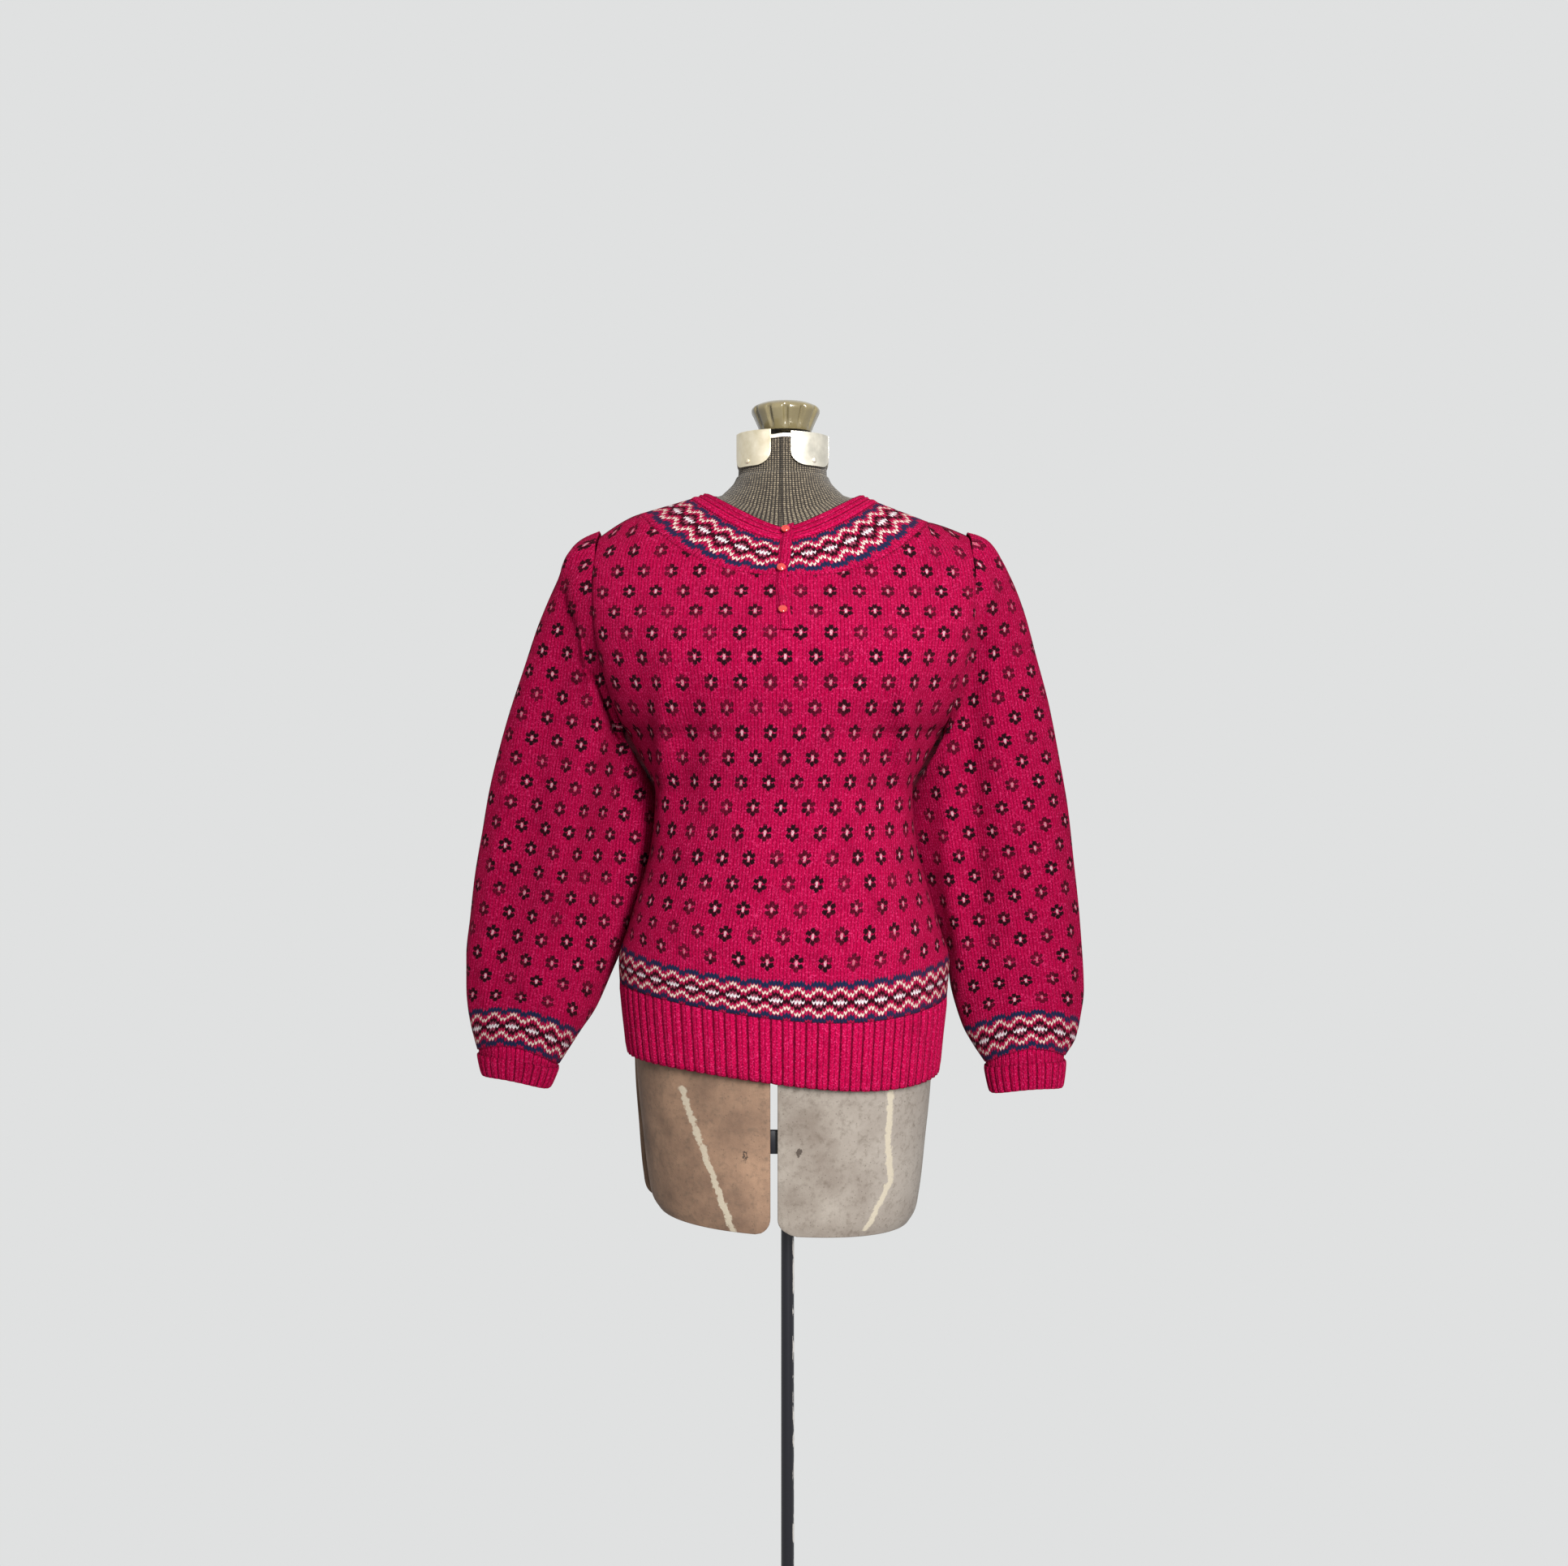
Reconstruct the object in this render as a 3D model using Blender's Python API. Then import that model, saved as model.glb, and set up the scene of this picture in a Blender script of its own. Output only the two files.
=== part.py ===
"""A fair-isle sweater on a cage dress form with a pole stand.

Tables and sizes are in millimetres. +Z is up, -Y is the front, and the floor under the base is Z = 0.
The sweater's right-hand side in this file is +X, as someone who faces the form sees it.
"""

import math

import bpy
import bmesh
import numpy as np
from mathutils import Vector

MM = 0.001
SEAM = 0.3  # gap between pieces that are sewn together
CLOTH = 2.2  # thickness of the plain knit
RIB_CLOTH = 2.6  # thickness of the ribbing between its ridges
RIB_HEIGHT = 1.7  # how far a rib stands proud of the valleys beside it

# Heights above the floor.
HEM_Z = 781
RIB_TOP_Z = 844
HALF_BODY = 155  # the half width that the hem's sag is stated over
UNDERARM_Z = 1110
SHOULDER_Z = 1302
ARMHOLE_Z = (UNDERARM_Z + SHOULDER_Z) / 2
ARMHOLE_HALF = (SHOULDER_Z - UNDERARM_Z) / 2
ARMHOLE_DEPTH = 62  # half of the armhole, front to back
SHOULDER_X = 179
UNDERARM_X = 155
ARMHOLE_BOW = 13  # the armhole swings out between its two ends
BULGE_RISE = 0.5  # the share of the armhole's height over which the chest grows fuller at its sides
YOKE_CORNER = math.radians(37.5)  # where the yoke seam meets the shoulder seam
YOKE_X = SHOULDER_X * math.cos(YOKE_CORNER)
YOKE_SIDE_Z = 1319
YOKE_SIDE_RADIUS = 110  # mean distance of the yoke's seams from the neck's middle
RING_WIDTH = 20  # the least width of cloth from one ring round the neck to the next
YOKE_COLUMNS = 16  # steps along the yoke seam, over half a turn
BAND_RIDGE = 1.0  # height of the neckband's two ridges

HEM_RIBS = 42  # on the front, and again on the back
CUFF_RIBS = 27

# The body below the armholes and its depths above them: a row for each level.
BODY = {
    "z": (781, 812, 844, 885, 917, 944, 967, 989, 1027, 1049, 1082, 1110, 1160, 1200, 1256, 1302),
    "half_width": (152.5, 155.5, 159, 162, 153, 145, 138, 132, 127, 126, 140, 155, 172, 180, 182, 179),
    "front": (116, 120, 121, 122, 118, 114, 111, 109, 108, 109, 117, 122, 130, 123, 88, 64),
    "back": (110, 113, 113, 112, 108, 104, 100, 97, 95, 96, 102, 106, 111, 112, 106, 92),
    "squareness": (2.3, 2.3, 2.3, 2.3, 2.3, 2.25, 2.2, 2.2, 2.1, 2.0, 1.9, 1.8, 1.8, 1.9, 2.0, 2.0),
}

# The rows of knitting near the hem don't hang level. The rise of a row over its level is a cubic in
# the share of the half width, and a row of this table holds its four factors.
SAG = {
    "z": (781, 844, 885, 917, 944, 970),
    "middle": (3.4, 1, -1.5, -1, 0, 0),
    "tilt": (-20.4, -15.2, -8, -4, 0, 0),
    "sides": (3.7, 13.3, 15, 9, 4, 0),
    "tilted_sides": (11, 8, 3, 0, 0, 0),
}

# The rings round the neck, from the neckline out to the yoke seam: a row for each ring.
NECK_RINGS = {
    "ring": (0, 1, 2),
    "side_x": (76, 92, YOKE_X),
    "side_z": (1342, 1336, YOKE_SIDE_Z),
    "front_y": (56, 66, 88),
    "front_z": (1304, 1291, 1256),
    "back_y": (60, 72, 98),
    "back_z": (1351, 1341, 1296),
    "sag": (1.3, 1.7, 2.6),  # 1 is a straight V, 2.6 a flat-bottomed curve
    "tilt": (0.8, 1.6, 4),  # the left side is this much higher, and the right side lower
}

# Long soft ridges and troughs of the body, each along a line from its top to its lower end.
BODY_FOLDS = [
    # panel, top x, top z, low x, low z, height, half width
    ("front", -101, 1180, -121, 1035, 9, 14),
    ("front", 110, 1180, 117, 1045, 9, 14),
    ("front", -60, 1060, -20, 960, 3, 22),
    ("front", 70, 1050, 30, 950, 3, 22),
    ("back", -105, 1190, -112, 1030, 8, 16),
    ("back", 104, 1195, 114, 1020, 8, 16),
    ("back", 5, 1120, -10, 980, 4, 26),
]

# The sleeves from armhole to wrist: a row for each ring, outer and inner end as seen from the front.
SLEEVE_LEFT = {
    "row": (0, 1, 2, 3, 4, 5, 6, 7, 8, 9, 10, 11, 12, 13, 14),
    "outer_x": (179, 206, 224, 242, 256, 274, 290, 299, 306, 311, 315, 315, 313, 309, 304),
    "outer_z": (1302, 1286, 1256, 1215, 1174, 1119, 1058, 1008, 968, 925, 888, 857, 832, 812, 794),
    "inner_x": (156, 155, 140, 125, 120, 122, 128, 135, 144, 153, 163, 172, 187, 203, 223),
    "inner_z": (1110, 1092, 1072, 1046, 1020, 998, 976, 955, 934, 912, 889, 868, 834, 810, 779),
    "outer_y": (0, 2, 4, 5, 6, 7, 8, 9, 10, 11, 12, 12, 12, 12, 12),
    "inner_y": (0, 20, 38, 48, 50, 48, 46, 43, 39, 34, 29, 24, 20, 17, 15),
    "depth": (62, 62, 59, 56, 53, 50, 48, 47, 46, 45, 44, 43, 41, 39, 36),
    "lift": (0, 0, 2, 4, 6, 8, 10, 12, 13, 14, 15, 15, 15, 15, 15),
    "bow": (ARMHOLE_BOW, 8, 4, 1, 0, 0, 0, 0, 0, 0, 0, 0, 0, 0, 0),
}
SLEEVE_RIGHT = {
    "row": SLEEVE_LEFT["row"],
    "outer_x": (179, 198, 219, 236, 250, 262, 273, 281, 287, 292, 295, 296, 293, 288, 279),
    "outer_z": (1302, 1293, 1269, 1230, 1180, 1135, 1079, 1033, 980, 935, 890, 855, 829, 805, 788),
    "inner_x": (156, 156, 141, 126, 120, 122, 128, 136, 145, 155, 163, 167, 177, 187, 199),
    "inner_z": (1110, 1092, 1070, 1045, 1018, 997, 975, 954, 932, 910, 884, 852, 818, 799, 781),
    "outer_y": (0, 2, 4, 5, 6, 7, 8, 9, 10, 11, 12, 12, 12, 12, 12),
    "inner_y": (0, 20, 38, 48, 50, 48, 46, 43, 39, 34, 29, 24, 20, 17, 15),
    "depth": (62, 62, 59, 56, 53, 50, 48, 47, 46, 45, 44, 43, 41, 39, 36),
    "lift": SLEEVE_LEFT["lift"],
    "bow": SLEEVE_LEFT["bow"],
}

# Folds of a sleeve. The angle runs from the outer edge, 0, over the front, 90, to the inner edge.
SLEEVE_FOLDS = [
    # sleeve, top row, low row, top angle, low angle, height, half width in degrees
    ("left", -0.4, 1.6, 0, 0, 6, 28),
    ("left", 0, 2.2, 30, 24, 5, 13),
    ("left", 0, 2.0, -32, -26, 5, 13),
    ("left", 0, 1.8, 58, 50, 4, 12),
    ("left", 2.5, 11, 122, 88, 8, 20),
    ("left", 3, 12, 60, 42, -4, 16),
    ("left", 3, 12, -70, -95, 7, 22),
    ("right", -0.4, 1.6, 0, 0, 4, 28),
    ("right", 0, 2.2, 24, 20, 5, 13),
    ("right", 0, 2.0, -30, -24, 5, 13),
    ("right", 0, 2.6, 52, 60, 4, 12),
    ("right", 3.5, 11.5, 118, 124, 6, 15),
    ("right", 3.5, 11.5, 86, 94, -6, 15),
    ("right", 3, 12, -62, -90, 7, 22),
]

# The cuffs' lower folds: x and z of the outer and inner end, and half the depth.
CUFF_ENDS = {
    "left": {"outer": (299, 769), "inner": (233, 755), "depth": 30},
    "right": {"outer": (276, 757), "inner": (205, 751), "depth": 31},
}
CUFF_INSET = 3.1  # the leg inside the turned-up cuff is this much smaller all round
CUFF_ARCH = 5.5  # the turned edge is this much higher at the front
CUFF_CLOTH = 1.8  # the inner leg, drawn in by its ribs
# Shares of the way from the fold up to the sleeve's end: the fold's widest line, the bottom of the slot
# between the legs, and the turned edge, which ends just below the sleeve.
FOLD_SHARE, SLOT_SHARE, TURN_SHARE = 0.05, 0.16, 0.86

# The placket lies on the neckband, the yoke and the top of the front: a row for each level.
# A drop of 0 is the neckline, 1 and 2 are the yoke's edges, and each further 1 is DROP_STEP below.
PLACKET = {
    "drop": (0.03, 0.5, 1, 1.5, 2, 2.2, 2.45, 2.7, 3.0),
    "left_x": (-1.5, -2.2, -3.5, -5.5, -7.5, -8, -7, -6, -5),
    "right_x": (9, 9, 8, 6, 3.2, 1.8, 4.5, 6.8, 6.8),
}
DROP_STEP = 70  # of the armhole's height
PLACKET_PART_X = 1.5  # where the two front lengths of the yoke part beneath it
PLACKET_LIFT = 1.7  # it clears the ridges of the neckband
PLACKET_CLOTH = 2.0
BUTTON_RADIUS = 4.3
BUTTON_DOME = 0.62  # a button's height over its radius
BUTTON_GAP = 0.8  # clears the placket, which bends under the button's flat back
BUTTONS = (("button_1", 0.5, 1.6), ("button_2", 1.87, -2.6), ("button_3", 2.68, -1.2))

# The form's neck, down to where its shoulders begin: a row for each ring.
NECK_X = -1.4
NECK = {
    "half_width": (41, 43, 43.5, 45.5, 49.5, 60),
    "front_y": (40, 42, 43, 46, 48, 47.5),
    "back_y": (40, 42, 43, 46, 49, 54),
    "side_z": (1394, 1392, 1362, 1358, 1351, 1341),
    "front_z": (1394, 1392, 1362, 1358, 1342, 1322),
    "back_z": (1394, 1392, 1362, 1359, 1352, 1347),
}
# Below it the form follows the inside of the sweater, and stands this much clear of it.
SHOULDER_EASE = {"ring": (0.4, 0.8, 1.4, 1.9), "ease": (2.6, 1.6, 0.9, 1.8)}
TORSO_EASE = {
    "level": (985, 1038, 1080, 1110, 1135, 1160, 1185, 1210, 1235, 1260, 1276),
    "ease": (8, 6, 8, 12, 12, 12, 11, 9, 7, 6, 5.5),
}

# Hip shells of the form: a row for each level.
HIPS = {
    "z": (640, 649, 666, 720, 768, 844, 885, 950, 984.7),
    "half_width": (122.5, 128.5, 132.5, 139, 144, 147, 146, 130, 117),
    "front": (97, 99, 100, 102, 104, 106, 106, 102, 97),
    "back": (93, 95, 96, 97, 98, 99, 98, 92, 84),
}
SHELL = 4.5  # thickness of the papier-mache
SLIT_LEFT_X = -12.8
SLIT_RIGHT_X = -6.0
SIDE_SLIT = math.radians(8)
SHELL_CORNER = 16  # radius of a hip shell's lower corners
CORNER_TURN = math.radians(6)  # how far round the form such a corner reaches
BACK_SLIT = math.radians(3)  # half of it
HIP_SQUARENESS = 2.3
HIP_TILT = 7  # the lower edges hang this much lower at the right side than in the middle
BACK_SPREAD_X = 8  # the back left shell's lower edge stands this much further out
RIGHT_SPREAD_X = 2  # and the back right one's
SPREAD_TOP_Z = 885

# The four plates round the neck: start, stop and rivet angle in degrees, top, low and rivet height.
PLATES = (
    ("collar_plate_front_left", -174, -104.5, -138, 1400, 1366, 1371),
    ("collar_plate_front_right", -79.5, -10, -47.5, 1398, 1366, 1371.5),
    ("collar_plate_back_right", 5, 82, 41, 1400, 1366, 1373),
    ("collar_plate_back_left", 98, 175, 139, 1400, 1366, 1373),
)
PLATE_RADIUS = 44.4
PLATE_CLOTH = 1.2
PLATE_ROUND = 0.4  # the share of a plate's height that its round lower end takes
PLATE_TIP = 0.35  # the share of its width that is left at the lowest edge
RIVET = {"foot_radius": 2.4, "top_radius": 1.5, "height": 1.2}
RIVET_SINK = 0.1  # the rivet's middle lies this far in from half its height

POLE_X = 3.5
POLE_RADIUS = 6.4
BASE_RADIUS = 180
BASE_EDGE = 12
BASE_TOP = 26
BOSS_RADIUS = 22
KNOB_X = 1.6
KNOB_Z = 1394 + SEAM  # the stem's foot, on top of the neck
FLUTES = 12
FLUTE_DEPTH = 2.2
# The bar inside the front shells, and the narrower arm that joins it to the pole.
BRIDGE_X = (-40, 30)
BRIDGE_Z = (716, 738)
BRIDGE_FRONT_Y = -94
BRIDGE_DEPTH = 5
ARM_HALF = 5
ARM_Z = (719, 735)


def material(name, colour, roughness, metallic=0.0):
    made = bpy.data.materials.new(name)
    made.use_nodes = True
    shader = made.node_tree.nodes["Principled BSDF"]
    shader.inputs["Base Color"].default_value = (*colour, 1)
    shader.inputs["Roughness"].default_value = roughness
    shader.inputs["Metallic"].default_value = metallic
    return made


def curve_through(table, key, column):
    """A function that reads a table's column as a smooth curve over its key column."""
    ks = np.array(table[key], float)
    vs = np.array(table[column], float)
    if ks[0] > ks[-1]:
        ks, vs = ks[::-1], vs[::-1]
    slopes = np.diff(vs) / np.diff(ks)
    ends = np.concatenate([slopes[:1], slopes, slopes[-1:]])
    before, after = ends[:-1], ends[1:]
    tangents = np.where(before * after > 0, (before + after) / 2, 0)

    def value(k):
        k = min(max(k, ks[0]), ks[-1])
        i = min(int(np.searchsorted(ks, k, side="right")) - 1, len(ks) - 2)
        span = ks[i + 1] - ks[i]
        t = (k - ks[i]) / span
        return (
            (2 * t**3 - 3 * t**2 + 1) * vs[i]
            + (t**3 - 2 * t**2 + t) * span * tangents[i]
            + (3 * t**2 - 2 * t**3) * vs[i + 1]
            + (t**3 - t**2) * span * tangents[i + 1]
        )

    return value


def signed_power(value, power):
    return math.copysign(abs(value) ** power, value)


body = {name: curve_through(BODY, "z", name) for name in BODY if name != "z"}
sag = [curve_through(SAG, "z", name) for name in SAG if name != "z"]
neck = {name: curve_through(NECK_RINGS, "ring", name) for name in NECK_RINGS if name != "ring"}


def armhole_x(z):
    """Half of the body's width at the armhole seam."""
    level = (z - ARMHOLE_Z) / ARMHOLE_HALF
    straight = (SHOULDER_X + UNDERARM_X) / 2 + (SHOULDER_X - UNDERARM_X) / 2 * level
    return straight + ARMHOLE_BOW * (1 - level**2)


def armhole_y(z):
    """How far the armhole seam stands in front of, or behind, the shoulder line."""
    level = (z - ARMHOLE_Z) / ARMHOLE_HALF
    return ARMHOLE_DEPTH * math.sqrt(max(0.0, 1 - level**2))


def neck_ring(ring, angle):
    """A point on a ring round the neck. The angle is 0 at +X and 90 degrees at the back."""
    across = math.cos(angle)
    side = "back" if math.sin(angle) > 0 else "front"
    low = neck[side + "_z"](ring)
    z = low + (neck["side_z"](ring) - low) * abs(across) ** neck["sag"](ring)
    z -= neck["tilt"](ring) * across
    y = neck[side + "_y"](ring) * math.sin(angle)
    return np.array((neck["side_x"](ring) * across, y, z))


def fold_height(panel, x, z):
    """How far the long folds push the cloth out at a place."""
    total = 0.0
    for where, top_x, top_z, low_x, low_z, height, half_width in BODY_FOLDS:
        if where != panel:
            continue
        along = (top_z - z) / (top_z - low_z)
        if not -0.25 < along < 1.25:
            continue
        middle = top_x + (low_x - top_x) * along
        fade = math.cos(math.pi / 3 * (2 * along - 1)) ** 2
        total += height * fade * math.exp(-(((x - middle) / half_width) ** 2))
    return total


def sag_height(x, level):
    """How far a row of knitting rises over its level at a place."""
    share = x / HALF_BODY
    return sum(factor(level) * share**power for power, factor in enumerate(sag))


def body_point(panel, across, level):
    """A point on the body. Across runs from -1 to 1, and level is the height at the side."""
    sign = -1 if panel == "front" else 1
    angle = (1 - across) * math.pi / 2
    if level <= UNDERARM_Z:
        power = 2 / body["squareness"](level)
        share = signed_power(math.cos(angle), power)
        z = level + sag_height(body["half_width"](level) * share, level)
        x = body["half_width"](z) * share
        depth = body[panel](z) * math.sin(angle) ** power
        return np.array((x, sign * (depth + fold_height(panel, x, z)), z))
    rise = (level - UNDERARM_Z) / (SHOULDER_Z - UNDERARM_Z)
    power = (1 - rise) * 2 / body["squareness"](UNDERARM_Z) + rise
    x = armhole_x(level) * signed_power(math.cos(angle), power)
    top = body_top(panel, signed_power(math.cos(angle), power))
    z = UNDERARM_Z + rise * (top[2] - UNDERARM_Z)
    seam_y = armhole_y(level)
    bulge = chest_bulge(angle, rise)
    blend = rise**8
    chest_y = (1 - blend) * (body[panel](z) - seam_y) * bulge
    top_y = blend * (abs(top[1]) - seam_y * bulge)
    folds = fold_height(panel, x, z) * (1 - rise)
    return np.array((x, sign * (seam_y + chest_y + top_y + folds), z))


def chest_bulge(angle, rise):
    """How round the chest is: as below the armholes at first, then fuller at its sides."""
    low = math.sin(angle) ** (2 / body["squareness"](UNDERARM_Z))
    high = math.sqrt(max(0.0, 1 - abs(math.cos(angle)) ** 2.2))
    share = min(1, rise / BULGE_RISE)
    return low + (high - low) * share**2 * (3 - 2 * share)


def body_top(panel, share):
    """The body's upper edge: the yoke seam, then the shoulder seam out to the armhole."""
    x = SHOULDER_X * share
    if abs(x) <= YOKE_X:
        angle = math.acos(x / YOKE_X)
        return neck_ring(2, angle if panel == "back" else -angle)
    out = (abs(x) - YOKE_X) / (SHOULDER_X - YOKE_X)
    corner_z = neck_ring(2, 0 if x > 0 else math.pi)[2]
    return np.array((x, 0, corner_z + (SHOULDER_Z - corner_z) * out**1.3))


def neck_normal(ring, angle):
    """The direction out of the knit at a place on the yoke or the neckband."""
    step = 0.02
    low, high = max(ring - step, 0), min(ring + step, 2)
    around = neck_ring(ring, angle + step) - neck_ring(ring, angle - step)
    outward = neck_ring(high, angle) - neck_ring(low, angle)
    normal = np.cross(outward, around)
    return normal / np.linalg.norm(normal)


def seam_angles():
    """Angles round the neck of the columns that the yoke and the body share, over half a turn."""
    return np.linspace(0, math.pi, YOKE_COLUMNS + 1)


def panel_shares():
    """Shares across a panel: even steps along the yoke seam, and two columns on each shoulder."""
    under_yoke = [math.acos(YOKE_X / SHOULDER_X * math.cos(a)) for a in seam_angles()]
    shoulder = [0, YOKE_CORNER / 3, YOKE_CORNER * 2 / 3]
    angles = shoulder + under_yoke + [math.pi - a for a in reversed(shoulder)]
    return [2 * a / math.pi - 1 for a in angles]


def sleeve_surface(side):
    """A function from row and angle to a point on a sleeve."""
    table = SLEEVE_LEFT if side == "left" else SLEEVE_RIGHT
    sign = -1 if side == "left" else 1
    at = {name: curve_through(table, "row", name) for name in table if name != "row"}

    def point(row, angle):
        outer = np.array((sign * at["outer_x"](row), at["outer_y"](row), at["outer_z"](row)))
        inner = np.array((sign * at["inner_x"](row), at["inner_y"](row), at["inner_z"](row)))
        middle = (outer + inner) / 2
        reach = np.array((0, -at["depth"](row) * math.sin(angle), 0))
        arch = np.array((0, 0, at["lift"](row) * max(0.0, math.sin(angle)) ** 2))
        bow = np.array((sign * at["bow"](row) * math.sin(angle) ** 2, 0, 0))
        return middle + (outer - middle) * math.cos(angle) + reach + arch + bow

    return point


def sleeve_fold(side, row, degrees):
    total = 0.0
    for where, top, low, top_angle, low_angle, height, half_width in SLEEVE_FOLDS:
        if where != side:
            continue
        along = (row - top) / (low - top)
        if not 0 <= along <= 1:
            continue
        middle = top_angle + (low_angle - top_angle) * along
        off = (degrees - middle + 180) % 360 - 180
        fade = math.sin(math.pi * (0.12 + 0.88 * along))
        total += height * fade * math.exp(-((off / half_width) ** 2))
    return total


def normals_of(grid, closed):
    """Unit normals of a grid of points, to the side where columns cross rows right-handed."""
    if closed:
        along = np.roll(grid, -1, axis=1) - np.roll(grid, 1, axis=1)
    else:
        along = np.gradient(grid, axis=1)
    up = np.gradient(grid, axis=0)
    normal = np.cross(along, up)
    return normal / np.maximum(np.linalg.norm(normal, axis=2, keepdims=True), 1e-9)


def add_object(name, collection, look, mesh):
    made = bpy.data.objects.new(name, mesh)
    mesh.materials.append(look)
    mesh.shade_smooth()
    mesh.set_sharp_from_angle(angle=math.radians(40))
    collection.objects.link(made)
    return made


def solid_of_rings(name, collection, look, rings, closed_loop):
    """A closed body through rings of equally many points.

    A closed loop of rings is a tube with a wall. Otherwise the first and last ring are capped.
    """
    shape = bmesh.new()
    rows = [[shape.verts.new(Vector(p) * MM) for p in ring] for ring in rings]
    last = len(rows) if closed_loop else len(rows) - 1
    for i in range(last):
        low, high = rows[i], rows[(i + 1) % len(rows)]
        for j in range(len(low)):
            k = (j + 1) % len(low)
            shape.faces.new((low[j], low[k], high[k], high[j]))
    if not closed_loop:
        shape.faces.new(rows[0][::-1])
        shape.faces.new(rows[-1])
    return add_object(name, collection, look, mesh_of(name, shape))


def mesh_of(name, shape):
    """A closed mesh of triangles that face out, from a bmesh."""
    bmesh.ops.triangulate(shape, faces=shape.faces[:])
    bmesh.ops.recalc_face_normals(shape, faces=shape.faces[:])
    mesh = bpy.data.meshes.new(name)
    shape.to_mesh(mesh)
    shape.free()
    return mesh


def cloth_tube(name, collection, look, outer, inner):
    """A tube of cloth: outer and inner grids of closed rows."""
    return solid_of_rings(name, collection, look, [*outer, *inner[::-1]], True)


def cloth_panel(name, collection, look, outer, inner):
    """A panel of cloth with four edges: each row is a slot-shaped ring, capped at both ends."""
    shape = bmesh.new()
    out = [[shape.verts.new(Vector(p) * MM) for p in row] for row in outer]
    back = [[shape.verts.new(Vector(p) * MM) for p in row] for row in inner]
    rows, columns = len(out), len(out[0])
    for i in range(rows - 1):
        for j in range(columns - 1):
            shape.faces.new((out[i][j], out[i][j + 1], out[i + 1][j + 1], out[i + 1][j]))
            shape.faces.new((back[i][j], back[i + 1][j], back[i + 1][j + 1], back[i][j + 1]))
        for j in (0, columns - 1):
            shape.faces.new((out[i][j], out[i + 1][j], back[i + 1][j], back[i][j]))
    for j in range(columns - 1):
        for i in (0, rows - 1):
            shape.faces.new((out[i][j], back[i][j], back[i][j + 1], out[i][j + 1]))
    return add_object(name, collection, look, mesh_of(name, shape))


def walls(grid, normal, thickness, raised=0.0):
    """Outer and inner points of a wall whose plain outer face is the grid."""
    raised = np.asarray(raised, float)
    if raised.ndim == 1:
        raised = raised[None, :, None]
    return grid + normal * raised, grid - normal * thickness


def part_at_seams(grid, panel):
    """Moves the side edges of a front or back panel off the seam's plane."""
    sign = -1 if panel == "front" else 1
    grid = grid.copy()
    limit = sign * SEAM / 2
    grid[..., 1] = np.minimum(grid[..., 1], limit) if sign < 0 else np.maximum(grid[..., 1], limit)
    return grid


def facing_out(grid, closed, panel):
    """Normals that point away from the body's middle."""
    normal = normals_of(grid, closed)
    return normal if panel == "front" else -normal


def body_panel(panel, collection, look):
    below = [RIB_TOP_Z + 3 * SEAM, 885, 925, 958, 989, 1028, 1055, 1082, UNDERARM_Z]
    above = [1140, 1175, 1210, 1240, 1265, 1285, SHOULDER_Z - 2 * SEAM]
    levels = below + above
    shares = panel_shares()
    grid = np.array([[body_point(panel, a, level) for a in shares] for level in levels])
    normal = facing_out(grid, False, panel)
    for j, share in enumerate(shares):
        normal[-1, j] = top_normal(panel, share)
    outer, inner = walls(grid, normal, CLOTH)
    outer, inner = part_at_seams(outer, panel), part_at_seams(inner, panel)
    cloth_panel("body_" + panel, collection, look, outer, inner)


def top_normal(panel, share):
    """The direction out of the knit along the yoke seam and the shoulder seam."""
    across = math.cos((1 - share) * math.pi / 2) * SHOULDER_X / YOKE_X
    angle = math.acos(min(max(across, -1), 1))
    return neck_normal(2, angle if panel == "back" else -angle)


def rib_wave(count, per_rib):
    """Heights across a run of ribs: per_rib points for each, the first in a valley."""
    turn = np.arange(count * per_rib + 1) / per_rib
    return RIB_HEIGHT * (0.5 - 0.5 * np.cos(2 * math.pi * turn))


def hem_rib(panel, collection, look):
    per_rib = 2
    columns = HEM_RIBS * per_rib
    even = even_shares(panel, (HEM_Z + RIB_TOP_Z) / 2, columns)
    levels = [HEM_Z, 812, RIB_TOP_Z]
    grid = np.array([[body_point(panel, a, level) for a in even] for level in levels])
    normal = facing_out(grid, False, panel)
    outer, inner = walls(grid - normal * RIB_HEIGHT / 2, normal, RIB_CLOTH, rib_wave(HEM_RIBS, per_rib))
    outer, inner = part_at_seams(outer, panel), part_at_seams(inner, panel)
    cloth_panel("hem_rib_" + panel, collection, look, outer, inner)


def even_shares(panel, level, count):
    """Shares across a panel that lie equally far apart along the cloth."""
    fine = np.linspace(-1, 1, 400)
    line = np.array([body_point(panel, a, level) for a in fine])
    run = np.concatenate([[0], np.cumsum(np.linalg.norm(np.diff(line, axis=0), axis=1))])
    return np.interp(np.linspace(0, run[-1], count + 1), run, fine)


def sleeve(side, collection, look):
    sign = -1 if side == "left" else 1
    surface = sleeve_surface(side)
    columns = 26
    rows = [0, 0.5, 1, 2, 3, 4, 5, 6, 7, 8.5, 10, 11, 12, 13, 14]
    angles = np.arange(columns) * 2 * math.pi / columns
    grid = np.array([[surface(row, a) for a in angles] for row in rows])
    grid[0, :, 0] += sign * 2 * SEAM
    normal = normals_of(grid, True)
    middle = grid.mean(axis=1, keepdims=True)
    if np.sum(normal * (grid - middle)) < 0:
        normal = -normal
    pushed = [[sleeve_fold(side, row, math.degrees(a)) for a in angles] for row in rows]
    grid = grid + normal * np.array(pushed)[..., None]
    outer, inner = walls(grid, normal, CLOTH)
    inner[0, :, 0] = outer[0, :, 0]
    cloth_tube("sleeve_" + side, collection, look, outer, inner)


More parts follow.
